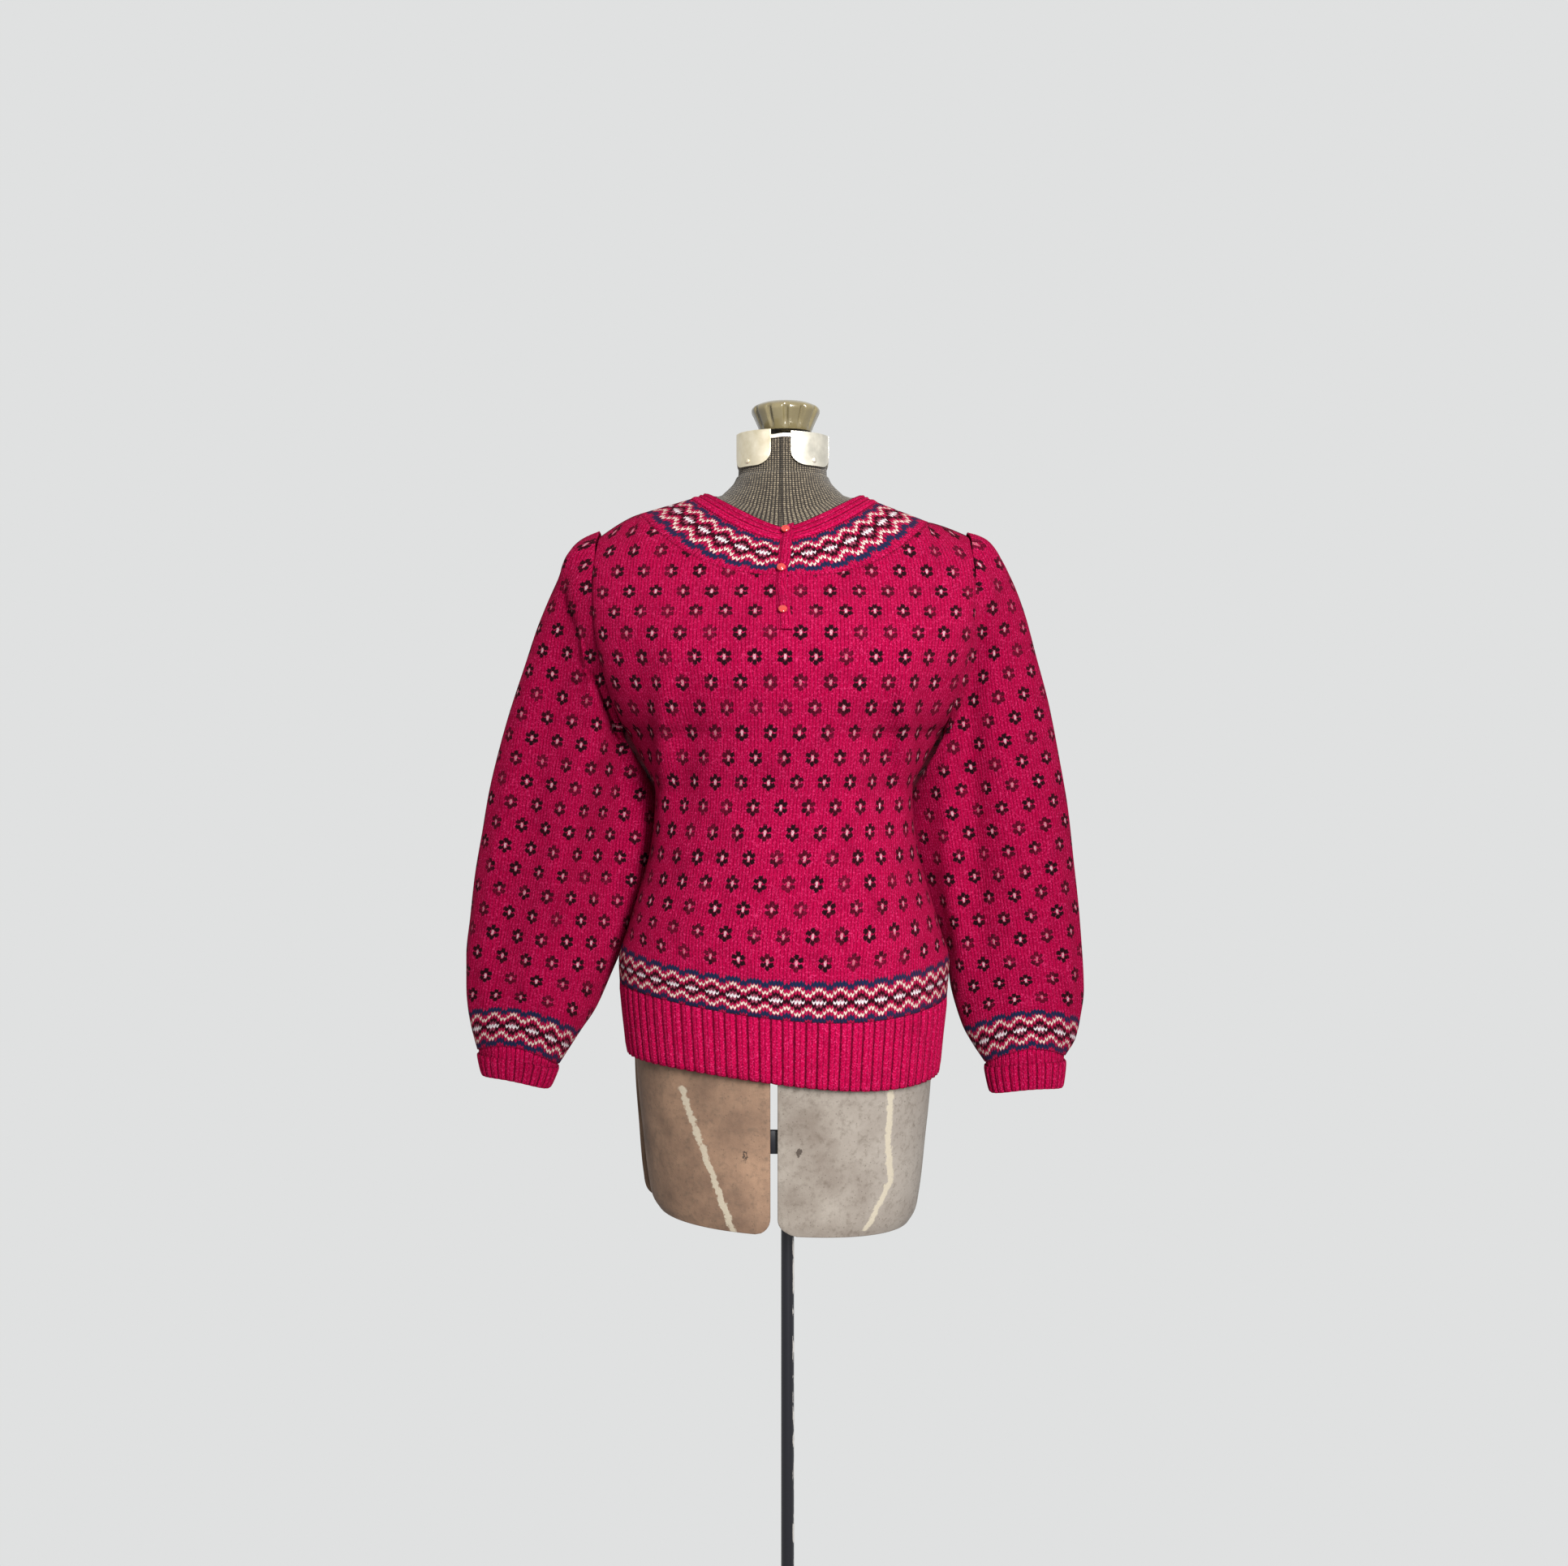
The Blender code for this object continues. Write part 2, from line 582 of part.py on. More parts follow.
def cuff(side, collection, look):
    """A ribbed cuff turned up on itself: one wall that goes down, folds out and comes up."""
    sign = -1 if side == "left" else 1
    table = SLEEVE_LEFT if side == "left" else SLEEVE_RIGHT
    ends = CUFF_ENDS[side]
    low_outer = np.array((sign * ends["outer"][0], table["outer_y"][-1], ends["outer"][1]))
    low_inner = np.array((sign * ends["inner"][0], table["inner_y"][-1], ends["inner"][1]))
    top_outer = np.array((sign * table["outer_x"][-1], table["outer_y"][-1], table["outer_z"][-1]))
    top_inner = np.array((sign * table["inner_x"][-1], table["inner_y"][-1], table["inner_z"][-1]))
    columns = CUFF_RIBS * 2
    angles = np.arange(columns) * 2 * math.pi / columns
    wave = RIB_HEIGHT * (0.5 - 0.5 * np.cos(np.arange(columns) * math.pi))

    def ring(share, inset, ribs=False):
        """A ring between the fold, share 0, and the sleeve's end, share 1, shrunk by the inset."""
        outer = low_outer + (top_outer - low_outer) * share
        inner = low_inner + (top_inner - low_inner) * share
        middle = (outer + inner) / 2
        along = (outer - inner) / np.linalg.norm(outer - inner)
        long_half = np.linalg.norm(outer - inner) / 2 - inset
        deep = ends["depth"] + (table["depth"][-1] - ends["depth"]) * share - inset
        to_sleeve = max(0.0, 2 * share - 1)
        lift = CUFF_ARCH + (table["lift"][-1] - CUFF_ARCH) * to_sleeve
        points = []
        for angle, high in zip(angles, wave):
            grow = high if ribs else 0.0
            arch = lift * max(0.0, math.sin(angle)) ** 2
            reach = np.array((0, -(deep + grow) * math.sin(angle), arch))
            points.append(middle + along * (long_half + grow) * math.cos(angle) + reach)
        return points

    leg_in = CUFF_INSET + CUFF_CLOTH
    turn_in = CUFF_INSET - 2 * SEAM
    rings = [
        ring(1, leg_in),
        ring(0, leg_in),
        ring(FOLD_SHARE, 0.9, True),
        ring(TURN_SHARE / 2, 0.2, True),
        ring(TURN_SHARE, 0.5, True),
        ring(TURN_SHARE, turn_in),
        ring(SLOT_SHARE, turn_in),
        ring(SLOT_SHARE, CUFF_INSET),
        ring(1, CUFF_INSET),
    ]
    solid_of_rings("cuff_" + side, collection, look, rings, True)


def yoke_piece(name, angles, rings, thickness, collection, look, ridges=0.0):
    """A stretch of the yoke or neckband: angles round the neck, and rings out from the neckline."""
    grid = np.array([[neck_ring(ring, a) for a in angles] for ring in rings])
    normal = np.array([[neck_normal(ring, a) for a in angles] for ring in rings])
    raised = np.zeros(grid.shape[:2])
    raised[1::2] = ridges
    outer, inner = grid + normal * raised[..., None], grid - normal * thickness
    cloth_panel(name, collection, look, outer, inner)


def yoke(collection, look, plain):
    """The yoke in three lengths that part at the shoulders and under the placket; the neckband."""
    gap = SEAM / YOKE_SIDE_RADIUS
    parting = -math.acos(PLACKET_PART_X / YOKE_X)
    around = seam_angles()
    front = -around[::-1]
    step = math.pi / YOKE_COLUMNS
    left = [a for a in front if a < parting - step / 4]
    right = [a for a in front if a > parting + step / 4]
    left[0] += gap
    right[-1] -= gap
    back = around.copy()
    back[0] += gap
    back[-1] -= gap
    seam = SEAM / RING_WIDTH
    rings = (1 + seam, 1.5, 2 - seam / 2)
    yoke_piece("yoke_left", [*left, parting - gap], rings, CLOTH, collection, look)
    yoke_piece("yoke_right", [parting + gap, *right], rings, CLOTH, collection, look)
    yoke_piece("yoke_back", back, rings, CLOTH, collection, look)
    turn = np.linspace(parting + gap, parting + 2 * math.pi - gap, 2 * YOKE_COLUMNS + 1)
    ridge_rings = (0, 0.24, 0.5, 0.76, 1 - seam)
    yoke_piece("neckband", turn, ridge_rings, RIB_CLOTH, collection, plain, BAND_RIDGE)


def front_point(drop, x):
    """A point down the middle of the front: on the neckband and yoke, then on the body."""
    if drop <= 2:
        return neck_ring(drop, -math.acos(x / neck["side_x"](drop)))
    level = SHOULDER_Z - (drop - 2) * DROP_STEP
    rise = (level - UNDERARM_Z) / (SHOULDER_Z - UNDERARM_Z)
    power = (1 - rise) * 2 / body["squareness"](UNDERARM_Z) + rise
    angle = math.acos(signed_power(x / armhole_x(level), 1 / power))
    return body_point("front", 1 - 2 * angle / math.pi, level)


def front_normal(drop, x):
    step = 0.04
    down = front_point(drop + step, x) - front_point(max(drop - step, 0), x)
    across = front_point(drop, x + 1) - front_point(drop, x - 1)
    normal = np.cross(down, across)
    return normal / np.linalg.norm(normal)


def placket(collection, look):
    """The band that laps over down the middle of the front, laid on the knit."""
    grid, normal = [], []
    for drop, left_x, right_x in zip(*PLACKET.values()):
        xs = np.linspace(left_x, right_x, 4)
        grid.append([front_point(drop, x) for x in xs])
        normal.append([front_normal(drop, x) for x in xs])
    grid, normal = np.array(grid), np.array(normal)
    outer = grid + normal * (PLACKET_LIFT + PLACKET_CLOTH)
    inner = grid + normal * PLACKET_LIFT
    cloth_panel("placket", collection, look, outer, inner)


def button(name, drop, x, collection, look):
    """A domed button with a flat back, standing on the placket."""
    normal = front_normal(drop, x)
    seat = front_point(drop, x) + normal * (PLACKET_LIFT + PLACKET_CLOTH + BUTTON_GAP)
    shape = bmesh.new()
    bmesh.ops.create_uvsphere(shape, u_segments=14, v_segments=8, radius=BUTTON_RADIUS * MM)
    bmesh.ops.bisect_plane(
        shape,
        geom=shape.verts[:] + shape.edges[:] + shape.faces[:],
        plane_co=(0, 0, 0),
        plane_no=(0, 0, -1),
        clear_outer=True,
    )
    bmesh.ops.holes_fill(shape, edges=[e for e in shape.edges if e.is_boundary])
    bmesh.ops.scale(shape, vec=(1, 1, BUTTON_DOME), verts=shape.verts)
    turn = Vector((0, 0, 1)).rotation_difference(Vector(normal)).to_matrix()
    bmesh.ops.rotate(shape, cent=(0, 0, 0), matrix=turn, verts=shape.verts)
    bmesh.ops.translate(shape, vec=Vector(seat) * MM, verts=shape.verts)
    add_object(name, collection, look, mesh_of(name, shape))


def torso(collection, look):
    """The jersey-covered form: its neck, then a body that fills the sweater from shoulder to waist."""
    columns = 32
    angles = [(j + 0.5) * 2 * math.pi / columns for j in range(columns)]
    rings = []
    for row in zip(*NECK.values()):
        half_width, front_y, back_y, side_z, front_z, back_z = row
        ring = []
        for angle in angles:
            behind = math.sin(angle) > 0
            z = back_z if behind else front_z
            z += (side_z - z) * math.cos(angle) ** 2
            y = (back_y if behind else front_y) * math.sin(angle)
            ring.append((NECK_X + half_width * math.cos(angle), y, z))
        rings.append(ring)
    under = [[neck_ring(ring, angle) for angle in angles] for ring in SHOULDER_EASE["ring"]]
    ease = list(SHOULDER_EASE["ease"])
    for level, clear in zip(reversed(TORSO_EASE["level"]), reversed(TORSO_EASE["ease"])):
        under.append([round_body_point(angle, level) for angle in angles])
        ease.append(clear)
    under = np.array(under)
    normal = -normals_of(under, True)
    inset = np.array(ease)[:, None, None] + RIB_CLOTH
    under = under - normal * inset
    under[-1, :, 2] = TORSO_EASE["level"][0]
    rings.extend(under)
    solid_of_rings("form_torso", collection, look, rings[::-1], False)


def round_body_point(angle, level):
    """A point of the body by its angle round the form: 0 is +X and 90 degrees the back."""
    if angle < math.pi:
        return body_point("back", 1 - 2 * angle / math.pi, level)
    return body_point("front", 2 * (angle - math.pi) / math.pi - 1, level)


def hip_shell(name, start, stop, spread, collection, look):
    """A papier-mache shell between two angles; 0 is +X and -90 degrees the front."""
    at = {column: curve_through(HIPS, "z", column) for column in HIPS if column != "z"}
    columns = 10
    levels = HIPS["z"]
    grid = []
    for z in levels:
        low = max(0.0, 1 - (z - levels[0]) / SHELL_CORNER)
        trim = CORNER_TURN * (1 - math.sqrt(max(0.0, 1 - low**2)))
        out = max(0.0, (SPREAD_TOP_Z - z) / (SPREAD_TOP_Z - levels[0]))
        row = []
        for angle in np.linspace(start(z) + trim, stop(z) - trim, columns + 1):
            side = "back" if math.sin(angle) > 0 else "front"
            share = signed_power(math.cos(angle), 2 / HIP_SQUARENESS)
            row.append((
                at["half_width"](z) * share + spread * out,
                at[side](z) * signed_power(math.sin(angle), 2 / HIP_SQUARENESS),
                z - HIP_TILT * share * out,
            ))
        grid.append(row)
    grid = np.array(grid)
    normal = normals_of(grid, False)
    middle = grid.mean(axis=(0, 1)) * (0, 0, 1)
    if np.sum(normal * (grid - middle)) < 0:
        normal = -normal
    outer, inner = walls(grid, normal, SHELL)
    cloth_panel(name, collection, look, outer, inner)


def slit_angle(x):
    """The angle at which a front shell's edge lies this far from the middle, at each level."""
    width = curve_through(HIPS, "z", "half_width")

    def angle(z):
        share = signed_power(x / width(z), HIP_SQUARENESS / 2)
        return -math.acos(share)

    return angle


def hips(collection, look):
    side, back, half = SIDE_SLIT, BACK_SLIT, math.pi
    shells = (
        ("hip_front_left", lambda z: -half + side, slit_angle(SLIT_LEFT_X), 0),
        ("hip_front_right", slit_angle(SLIT_RIGHT_X), lambda z: -side, 0),
        ("hip_back_right", lambda z: side / 2, lambda z: half / 2 - back, RIGHT_SPREAD_X),
        ("hip_back_left", lambda z: half / 2 + back, lambda z: half - side / 2, -BACK_SPREAD_X),
    )
    for name, start, stop, spread in shells:
        hip_shell(name, start, stop, spread, collection, look)


def collar_plate(name, start, stop, tip, top_z, low_z, collection, look):
    """A thin plate bent round the neck, whose lower end is round about the tip's angle."""
    columns = 8
    outer, inner = [], []
    for share in (0, 0.06, 0.18, PLATE_ROUND, 0.7, 1):
        up = min(1, share / PLATE_ROUND)
        width = PLATE_TIP + (1 - PLATE_TIP) * math.sqrt(1 - (1 - up) ** 2)
        angles = np.linspace(tip + (start - tip) * width, tip + (stop - tip) * width, columns + 1)
        z = low_z + (top_z - low_z) * share
        outer.append([at_neck(PLATE_RADIUS + PLATE_CLOTH, math.radians(a), z) for a in angles])
        inner.append([at_neck(PLATE_RADIUS, math.radians(a), z) for a in angles])
    cloth_panel(name, collection, look, np.array(outer), np.array(inner))


def at_neck(radius, angle, z):
    return (NECK_X + radius * math.cos(angle), radius * math.sin(angle), z)


def collar(collection, look):
    """The plates, each with a rivet near its lower end."""
    for name, start, stop, rivet_angle, top_z, low_z, rivet_z in PLATES:
        collar_plate(name, start, stop, rivet_angle, top_z, low_z, collection, look)
        angle = math.radians(rivet_angle)
        shape = bmesh.new()
        bmesh.ops.create_cone(
            shape,
            cap_ends=True,
            segments=10,
            radius1=RIVET["foot_radius"] * MM,
            radius2=RIVET["top_radius"] * MM,
            depth=RIVET["height"] * MM,
        )
        outward = Vector((math.cos(angle), math.sin(angle), 0))
        turn = Vector((0, 0, 1)).rotation_difference(outward).to_matrix()
        bmesh.ops.rotate(shape, cent=(0, 0, 0), matrix=turn, verts=shape.verts)
        radius = PLATE_RADIUS + PLATE_CLOTH + SEAM + RIVET["height"] / 2 + RIVET_SINK
        centre = Vector(at_neck(radius, angle, rivet_z)) * MM
        bmesh.ops.translate(shape, vec=centre, verts=shape.verts)
        rivet = name.replace("plate", "rivet")
        add_object(rivet, collection, look, mesh_of(rivet, shape))


def knob(collection, look):
    """The fluted knob with its stem; the object's origin lies on the axis it turns about."""
    profile = (
        # radius, height over the stem's foot, share of the flutes' depth
        (8, 0, 0), (8, 8.2, 0), (24.5, 8.8, 0), (26, 11, 0), (30.5, 21, 1), (33.75, 28.5, 1),
        (33.2, 31.5, 0.4), (29, 34.8, 0), (19, 38, 0), (8, 39.4, 0),
    )
    columns = FLUTES * 3
    rings = []
    for radius, height, share in profile:
        ring = []
        for j in range(columns):
            angle = 2 * math.pi * j / columns
            cut = FLUTE_DEPTH * share * (0.5 + 0.5 * math.cos(FLUTES * angle))
            ring.append(((radius - cut) * math.cos(angle), (radius - cut) * math.sin(angle), height))
        rings.append(ring)
    made = solid_of_rings("knob", collection, look, rings, False)
    made.location = (KNOB_X * MM, 0, KNOB_Z * MM)


def cylinder(name, radius, low, high, x, segments, collection, look):
    shape = bmesh.new()
    bmesh.ops.create_cone(
        shape,
        cap_ends=True,
        segments=segments,
        radius1=radius * MM,
        radius2=radius * MM,
        depth=(high - low) * MM,
    )
    bmesh.ops.translate(shape, vec=Vector((x, 0, (low + high) / 2)) * MM, verts=shape.verts)
    return add_object(name, collection, look, mesh_of(name, shape))


def stand(collection, look, bar_look):
    """The base, the pole that stands on it, and the bar that spreads the front shells."""
    profile = (
        (BASE_RADIUS - 3, 0), (BASE_RADIUS, 3), (BASE_RADIUS, BASE_EDGE - 3),
        (BASE_RADIUS - 4, BASE_EDGE), (BOSS_RADIUS + 26, BASE_EDGE + 4), (BOSS_RADIUS, BASE_TOP - 3),
        (BOSS_RADIUS - 3, BASE_TOP),
    )
    columns = 36
    rings = [
        [
            (r * math.cos(2 * math.pi * j / columns) + POLE_X, r * math.sin(2 * math.pi * j / columns), z)
            for j in range(columns)
        ]
        for r, z in profile
    ]
    solid_of_rings("base", collection, look, rings, False)
    cylinder("pole", POLE_RADIUS, BASE_TOP + SEAM, 985 - SEAM, POLE_X, 20, collection, look)
    bar_back_y = BRIDGE_FRONT_Y + BRIDGE_DEPTH
    front = [(x, y, z) for y in (BRIDGE_FRONT_Y, bar_back_y) for x, z in corners(BRIDGE_X, BRIDGE_Z)]
    arm_x = (POLE_X - ARM_HALF, POLE_X + ARM_HALF)
    ends = (bar_back_y, -POLE_RADIUS - SEAM)
    arm = [(x, y, z) for y in ends for x, z in corners(arm_x, ARM_Z)]
    rings = [front[:4], front[4:], arm[:4], arm[4:]]
    solid_of_rings("hip_bridge", collection, bar_look, rings, False)


def corners(xs, zs):
    """The corners of an upright rectangle, in order."""
    return [(xs[0], zs[0]), (xs[1], zs[0]), (xs[1], zs[1]), (xs[0], zs[1])]


def build():
    for old in list(bpy.data.objects):
        bpy.data.objects.remove(old, do_unlink=True)
    parts = bpy.data.collections.new("sweater_on_form")
    bpy.context.scene.collection.children.link(parts)
    knit = material("wool_knit", (0.56, 0.0, 0.06), 0.9)
    yoke_knit = material("wool_fair_isle", (0.45, 0.05, 0.08), 0.9)
    plastic = material("red_plastic", (0.65, 0.04, 0.05), 0.25)
    jersey = material("dark_jersey", (0.04, 0.03, 0.025), 0.9)
    paper = material("papier_mache", (0.38, 0.29, 0.22), 0.85)
    metal = material("nickel_plate", (0.6, 0.55, 0.45), 0.3, 1.0)
    bakelite = material("olive_bakelite", (0.3, 0.27, 0.11), 0.25)
    black = material("black_enamel", (0.01, 0.01, 0.014), 0.35, 0.4)

    body_panel("front", parts, knit)
    body_panel("back", parts, knit)
    hem_rib("front", parts, knit)
    hem_rib("back", parts, knit)
    for side in ("left", "right"):
        sleeve(side, parts, knit)
        cuff(side, parts, knit)
    yoke(parts, yoke_knit, knit)
    placket(parts, knit)
    for name, drop, x in BUTTONS:
        button(name, drop, x, parts, plastic)
    torso(parts, jersey)
    hips(parts, paper)
    collar(parts, metal)
    knob(parts, bakelite)
    stand(parts, black, metal)


build()
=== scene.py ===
# %% [markdown]
# A fair-isle sweater on an old dress form.
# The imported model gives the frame: where every piece lies and how it is carried. This lesson dresses
# it. Each knitted piece is a grid that is bent onto the same form as its solid, so that the grid's own
# rows and columns can be counted in stitches, and the pattern then follows the cloth.

# %% Load the frame
import math
import random

import bmesh
import bpy
import numpy as np
from mathutils import Matrix, Vector


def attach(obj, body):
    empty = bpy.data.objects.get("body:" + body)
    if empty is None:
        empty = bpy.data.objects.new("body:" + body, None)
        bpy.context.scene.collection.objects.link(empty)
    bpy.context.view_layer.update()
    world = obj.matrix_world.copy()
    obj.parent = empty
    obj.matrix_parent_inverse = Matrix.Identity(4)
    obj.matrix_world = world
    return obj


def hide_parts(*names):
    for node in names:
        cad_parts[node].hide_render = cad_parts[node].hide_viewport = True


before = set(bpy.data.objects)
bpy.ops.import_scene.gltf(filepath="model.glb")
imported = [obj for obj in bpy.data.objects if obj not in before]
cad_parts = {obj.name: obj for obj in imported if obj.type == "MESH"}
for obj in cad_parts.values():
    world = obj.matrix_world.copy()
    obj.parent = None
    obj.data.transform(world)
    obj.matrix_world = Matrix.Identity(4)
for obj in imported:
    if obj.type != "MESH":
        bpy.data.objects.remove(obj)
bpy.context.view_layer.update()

MM = 0.001
STAND = "stand"

# %% [markdown]
# The sizes of the sweater are in millimetres, as a knitter would write them. A row of a table is one
# level of the body or one ring of a sleeve, and a smooth curve through a column gives every size
# between two rows. The rows of knitting near the hem don't hang level: the sag table holds, for each
# level, the four factors of a cubic curve across the body.

# %% Sizes of the body and yoke
CLOTH = 2.2
RIB_CLOTH = 2.6
RIB_HEIGHT = 1.7
SEAM = 0.3
HEM_Z, RIB_TOP_Z = 781, 844
HALF_BODY = 155
UNDERARM_Z, SHOULDER_Z = 1110, 1302
ARMHOLE_Z = (UNDERARM_Z + SHOULDER_Z) / 2
ARMHOLE_HALF = (SHOULDER_Z - UNDERARM_Z) / 2
ARMHOLE_DEPTH, ARMHOLE_BOW, BULGE_RISE = 62, 13, 0.5
SHOULDER_X, UNDERARM_X = 179, 155
YOKE_X = SHOULDER_X * math.cos(math.radians(37.5))
YOKE_SIDE_Z = 1319
HEM_RIBS, CUFF_RIBS = 42, 27

BODY = {
    "z": (781, 812, 844, 885, 917, 944, 967, 989, 1027, 1049, 1082, 1110, 1160, 1200, 1256, 1302),
    "half_width": (152.5, 155.5, 159, 162, 153, 145, 138, 132, 127, 126, 140, 155, 172, 180, 182, 179),
    "front": (116, 120, 121, 122, 118, 114, 111, 109, 108, 109, 117, 122, 130, 123, 88, 64),
    "back": (110, 113, 113, 112, 108, 104, 100, 97, 95, 96, 102, 106, 111, 112, 106, 92),
    "squareness": (2.3, 2.3, 2.3, 2.3, 2.3, 2.25, 2.2, 2.2, 2.1, 2.0, 1.9, 1.8, 1.8, 1.9, 2.0, 2.0),
    "wale": (3.3, 3.3, 3.3, 3.3, 3.38, 3.32, 3.28, 3.24, 3.2, 3.22, 3.28, 3.32, 3.42, 3.5, 3.5, 3.4),
    "lean": (0, 0, 0, 0, 1.5, 4.2, 6.2, 8.2, 11.2, 13, 15.4, 16.6, 17.6, 17.7, 18, 18),
}
SAG = {
    "z": (781, 844, 885, 917, 944, 970),
    "middle": (3.4, 1, -1.5, -1, 0, 0),
    "tilt": (-20.4, -15.2, -8, -4, 0, 0),
    "sides": (3.7, 13.3, 15, 9, 4, 0),
    "tilted_sides": (11, 8, 3, 0, 0, 0),
}
NECK_RINGS = {
    "ring": (0, 1, 2),
    "side_x": (76, 92, YOKE_X),
    "side_z": (1342, 1336, YOKE_SIDE_Z),
    "front_y": (56, 66, 88),
    "front_z": (1304, 1291, 1256),
    "back_y": (60, 72, 98),
    "back_z": (1351, 1341, 1296),
    "sag": (1.3, 1.7, 2.6),
    "tilt": (0.8, 1.6, 4),
}

# %% [markdown]
# Creases are put in one by one. A long fold is a soft ridge or, with a negative height, a trough: it runs
# from a top point to a low point, swells in the middle and fades at both ends, and its cross-section is
# a bell curve. The sweater is a little wide at the waist, so its sides fall in deep ridges below the
# bust, and the knit between them wrinkles slightly.

# %% Folds of the body
BODY_FOLDS = [
    # panel, top x, top z, low x, low z, height, half width
    ("front", -107, 1200, -124, 1010, 14, 12),
    ("front", 112, 1200, 119, 1020, 14, 12),
    ("front", -84, 1150, -96, 1010, -5, 12),
    ("front", 90, 1150, 96, 1015, -5, 12),
    ("front", -60, 1060, -20, 960, 3, 20),
    ("front", 70, 1050, 30, 950, 3, 20),
    ("front", -125, 1120, -133, 1010, -4, 7),
    ("front", 128, 1110, 128, 1005, -4, 7),
    ("front", -30, 1180, -46, 1090, 1.6, 12),
    ("front", 40, 1190, 52, 1085, 1.6, 12),
    ("front", -90, 1010, -70, 930, 2.2, 13),
    ("front", 98, 1000, 82, 925, 2.2, 13),
    ("front", -140, 1270, -120, 1215, 2.0, 9),
    ("front", 142, 1268, 122, 1212, 2.0, 9),
    ("back", -105, 1190, -112, 1030, 8, 16),
    ("back", 104, 1195, 114, 1020, 8, 16),
    ("back", 5, 1120, -10, 980, 4, 26),
    ("back", -62, 1110, -40, 985, 3, 14),
    ("back", 58, 1105, 44, 975, 3, 14),
    ("back", -128, 1100, -126, 1000, -4, 8),
    ("back", 128, 1100, 126, 1000, -4, 8),
]


def curve_through(table, key, column):
    """A function that reads a table's column as a smooth curve over its key column."""
    ks = np.array(table[key], float)
    vs = np.array(table[column], float)
    if ks[0] > ks[-1]:
        ks, vs = ks[::-1], vs[::-1]
    slopes = np.diff(vs) / np.diff(ks)
    ends = np.concatenate([slopes[:1], slopes, slopes[-1:]])
    before, after = ends[:-1], ends[1:]
    tangents = np.where(before * after > 0, (before + after) / 2, 0)

    def value(k):
        k = min(max(k, ks[0]), ks[-1])
        i = min(int(np.searchsorted(ks, k, side="right")) - 1, len(ks) - 2)
        span = ks[i + 1] - ks[i]
        t = (k - ks[i]) / span
        return (
            (2 * t**3 - 3 * t**2 + 1) * vs[i]
            + (t**3 - 2 * t**2 + t) * span * tangents[i]
            + (3 * t**2 - 2 * t**3) * vs[i + 1]
            + (t**3 - t**2) * span * tangents[i + 1]
        )

    return value


body = {name: curve_through(BODY, "z", name) for name in BODY if name != "z"}
sag = [curve_through(SAG, "z", name) for name in SAG if name != "z"]
neck = {name: curve_through(NECK_RINGS, "ring", name) for name in NECK_RINGS if name != "ring"}


def signed_power(value, power):
    return math.copysign(abs(value) ** power, value)


def bell(off, half_width):
    return math.exp(-((off / half_width) ** 2))


def sag_height(x, level):
    return sum(factor(level) * (x / HALF_BODY) ** power for power, factor in enumerate(sag))


def fold_height(panel, x, z):
    total = 0.0
    for where, top_x, top_z, low_x, low_z, height, half_width in BODY_FOLDS:
        if where != panel:
            continue
        along = (top_z - z) / (top_z - low_z)
        if -0.25 < along < 1.25:
            middle = top_x + (low_x - top_x) * along
            fade = math.cos(math.pi / 3 * (2 * along - 1)) ** 2
            total += height * fade * bell(x - middle, half_width)
    return total


print(len(BODY_FOLDS), "folds on the body")

# %% [markdown]
# The body is read by two numbers: a share across, from -1 at the left side seam to 1 at the right, and
# a level, the height at the side. Below the armholes a level is a rounded-square section. Above them
# the section starts at the armhole seam, and it turns little by little into the yoke seam.

# %% The body's surface
def armhole_x(z):
    level = (z - ARMHOLE_Z) / ARMHOLE_HALF
    straight = (SHOULDER_X + UNDERARM_X) / 2 + (SHOULDER_X - UNDERARM_X) / 2 * level
    return straight + ARMHOLE_BOW * (1 - level**2)


def armhole_y(z):
    level = (z - ARMHOLE_Z) / ARMHOLE_HALF
    return ARMHOLE_DEPTH * math.sqrt(max(0.0, 1 - level**2))


def neck_ring(ring, angle):
    """A point on a ring round the neck: ring 0 is the neckline, 2 the yoke seam."""
    across = math.cos(angle)
    side = "back" if math.sin(angle) > 0 else "front"
    low = neck[side + "_z"](ring)
    z = low + (neck["side_z"](ring) - low) * abs(across) ** neck["sag"](ring)
    z -= neck["tilt"](ring) * across
    return np.array((neck["side_x"](ring) * across, neck[side + "_y"](ring) * math.sin(angle), z))


def body_top(panel, share):
    x = SHOULDER_X * share
    if abs(x) <= YOKE_X:
        angle = math.acos(x / YOKE_X)
        return neck_ring(2, angle if panel == "back" else -angle)
    out = (abs(x) - YOKE_X) / (SHOULDER_X - YOKE_X)
    corner_z = neck_ring(2, 0 if x > 0 else math.pi)[2]
    return np.array((x, 0, corner_z + (SHOULDER_Z - corner_z) * out**1.3))


def chest_bulge(angle, rise):
    """How round the chest is: as below the armholes at first, then fuller at its sides."""
    low = max(0.0, math.sin(angle)) ** (2 / body["squareness"](UNDERARM_Z))
    high = math.sqrt(max(0.0, 1 - abs(math.cos(angle)) ** 2.2))
    share = min(1.0, rise / BULGE_RISE)
    return low + (high - low) * share * share * (3 - 2 * share)


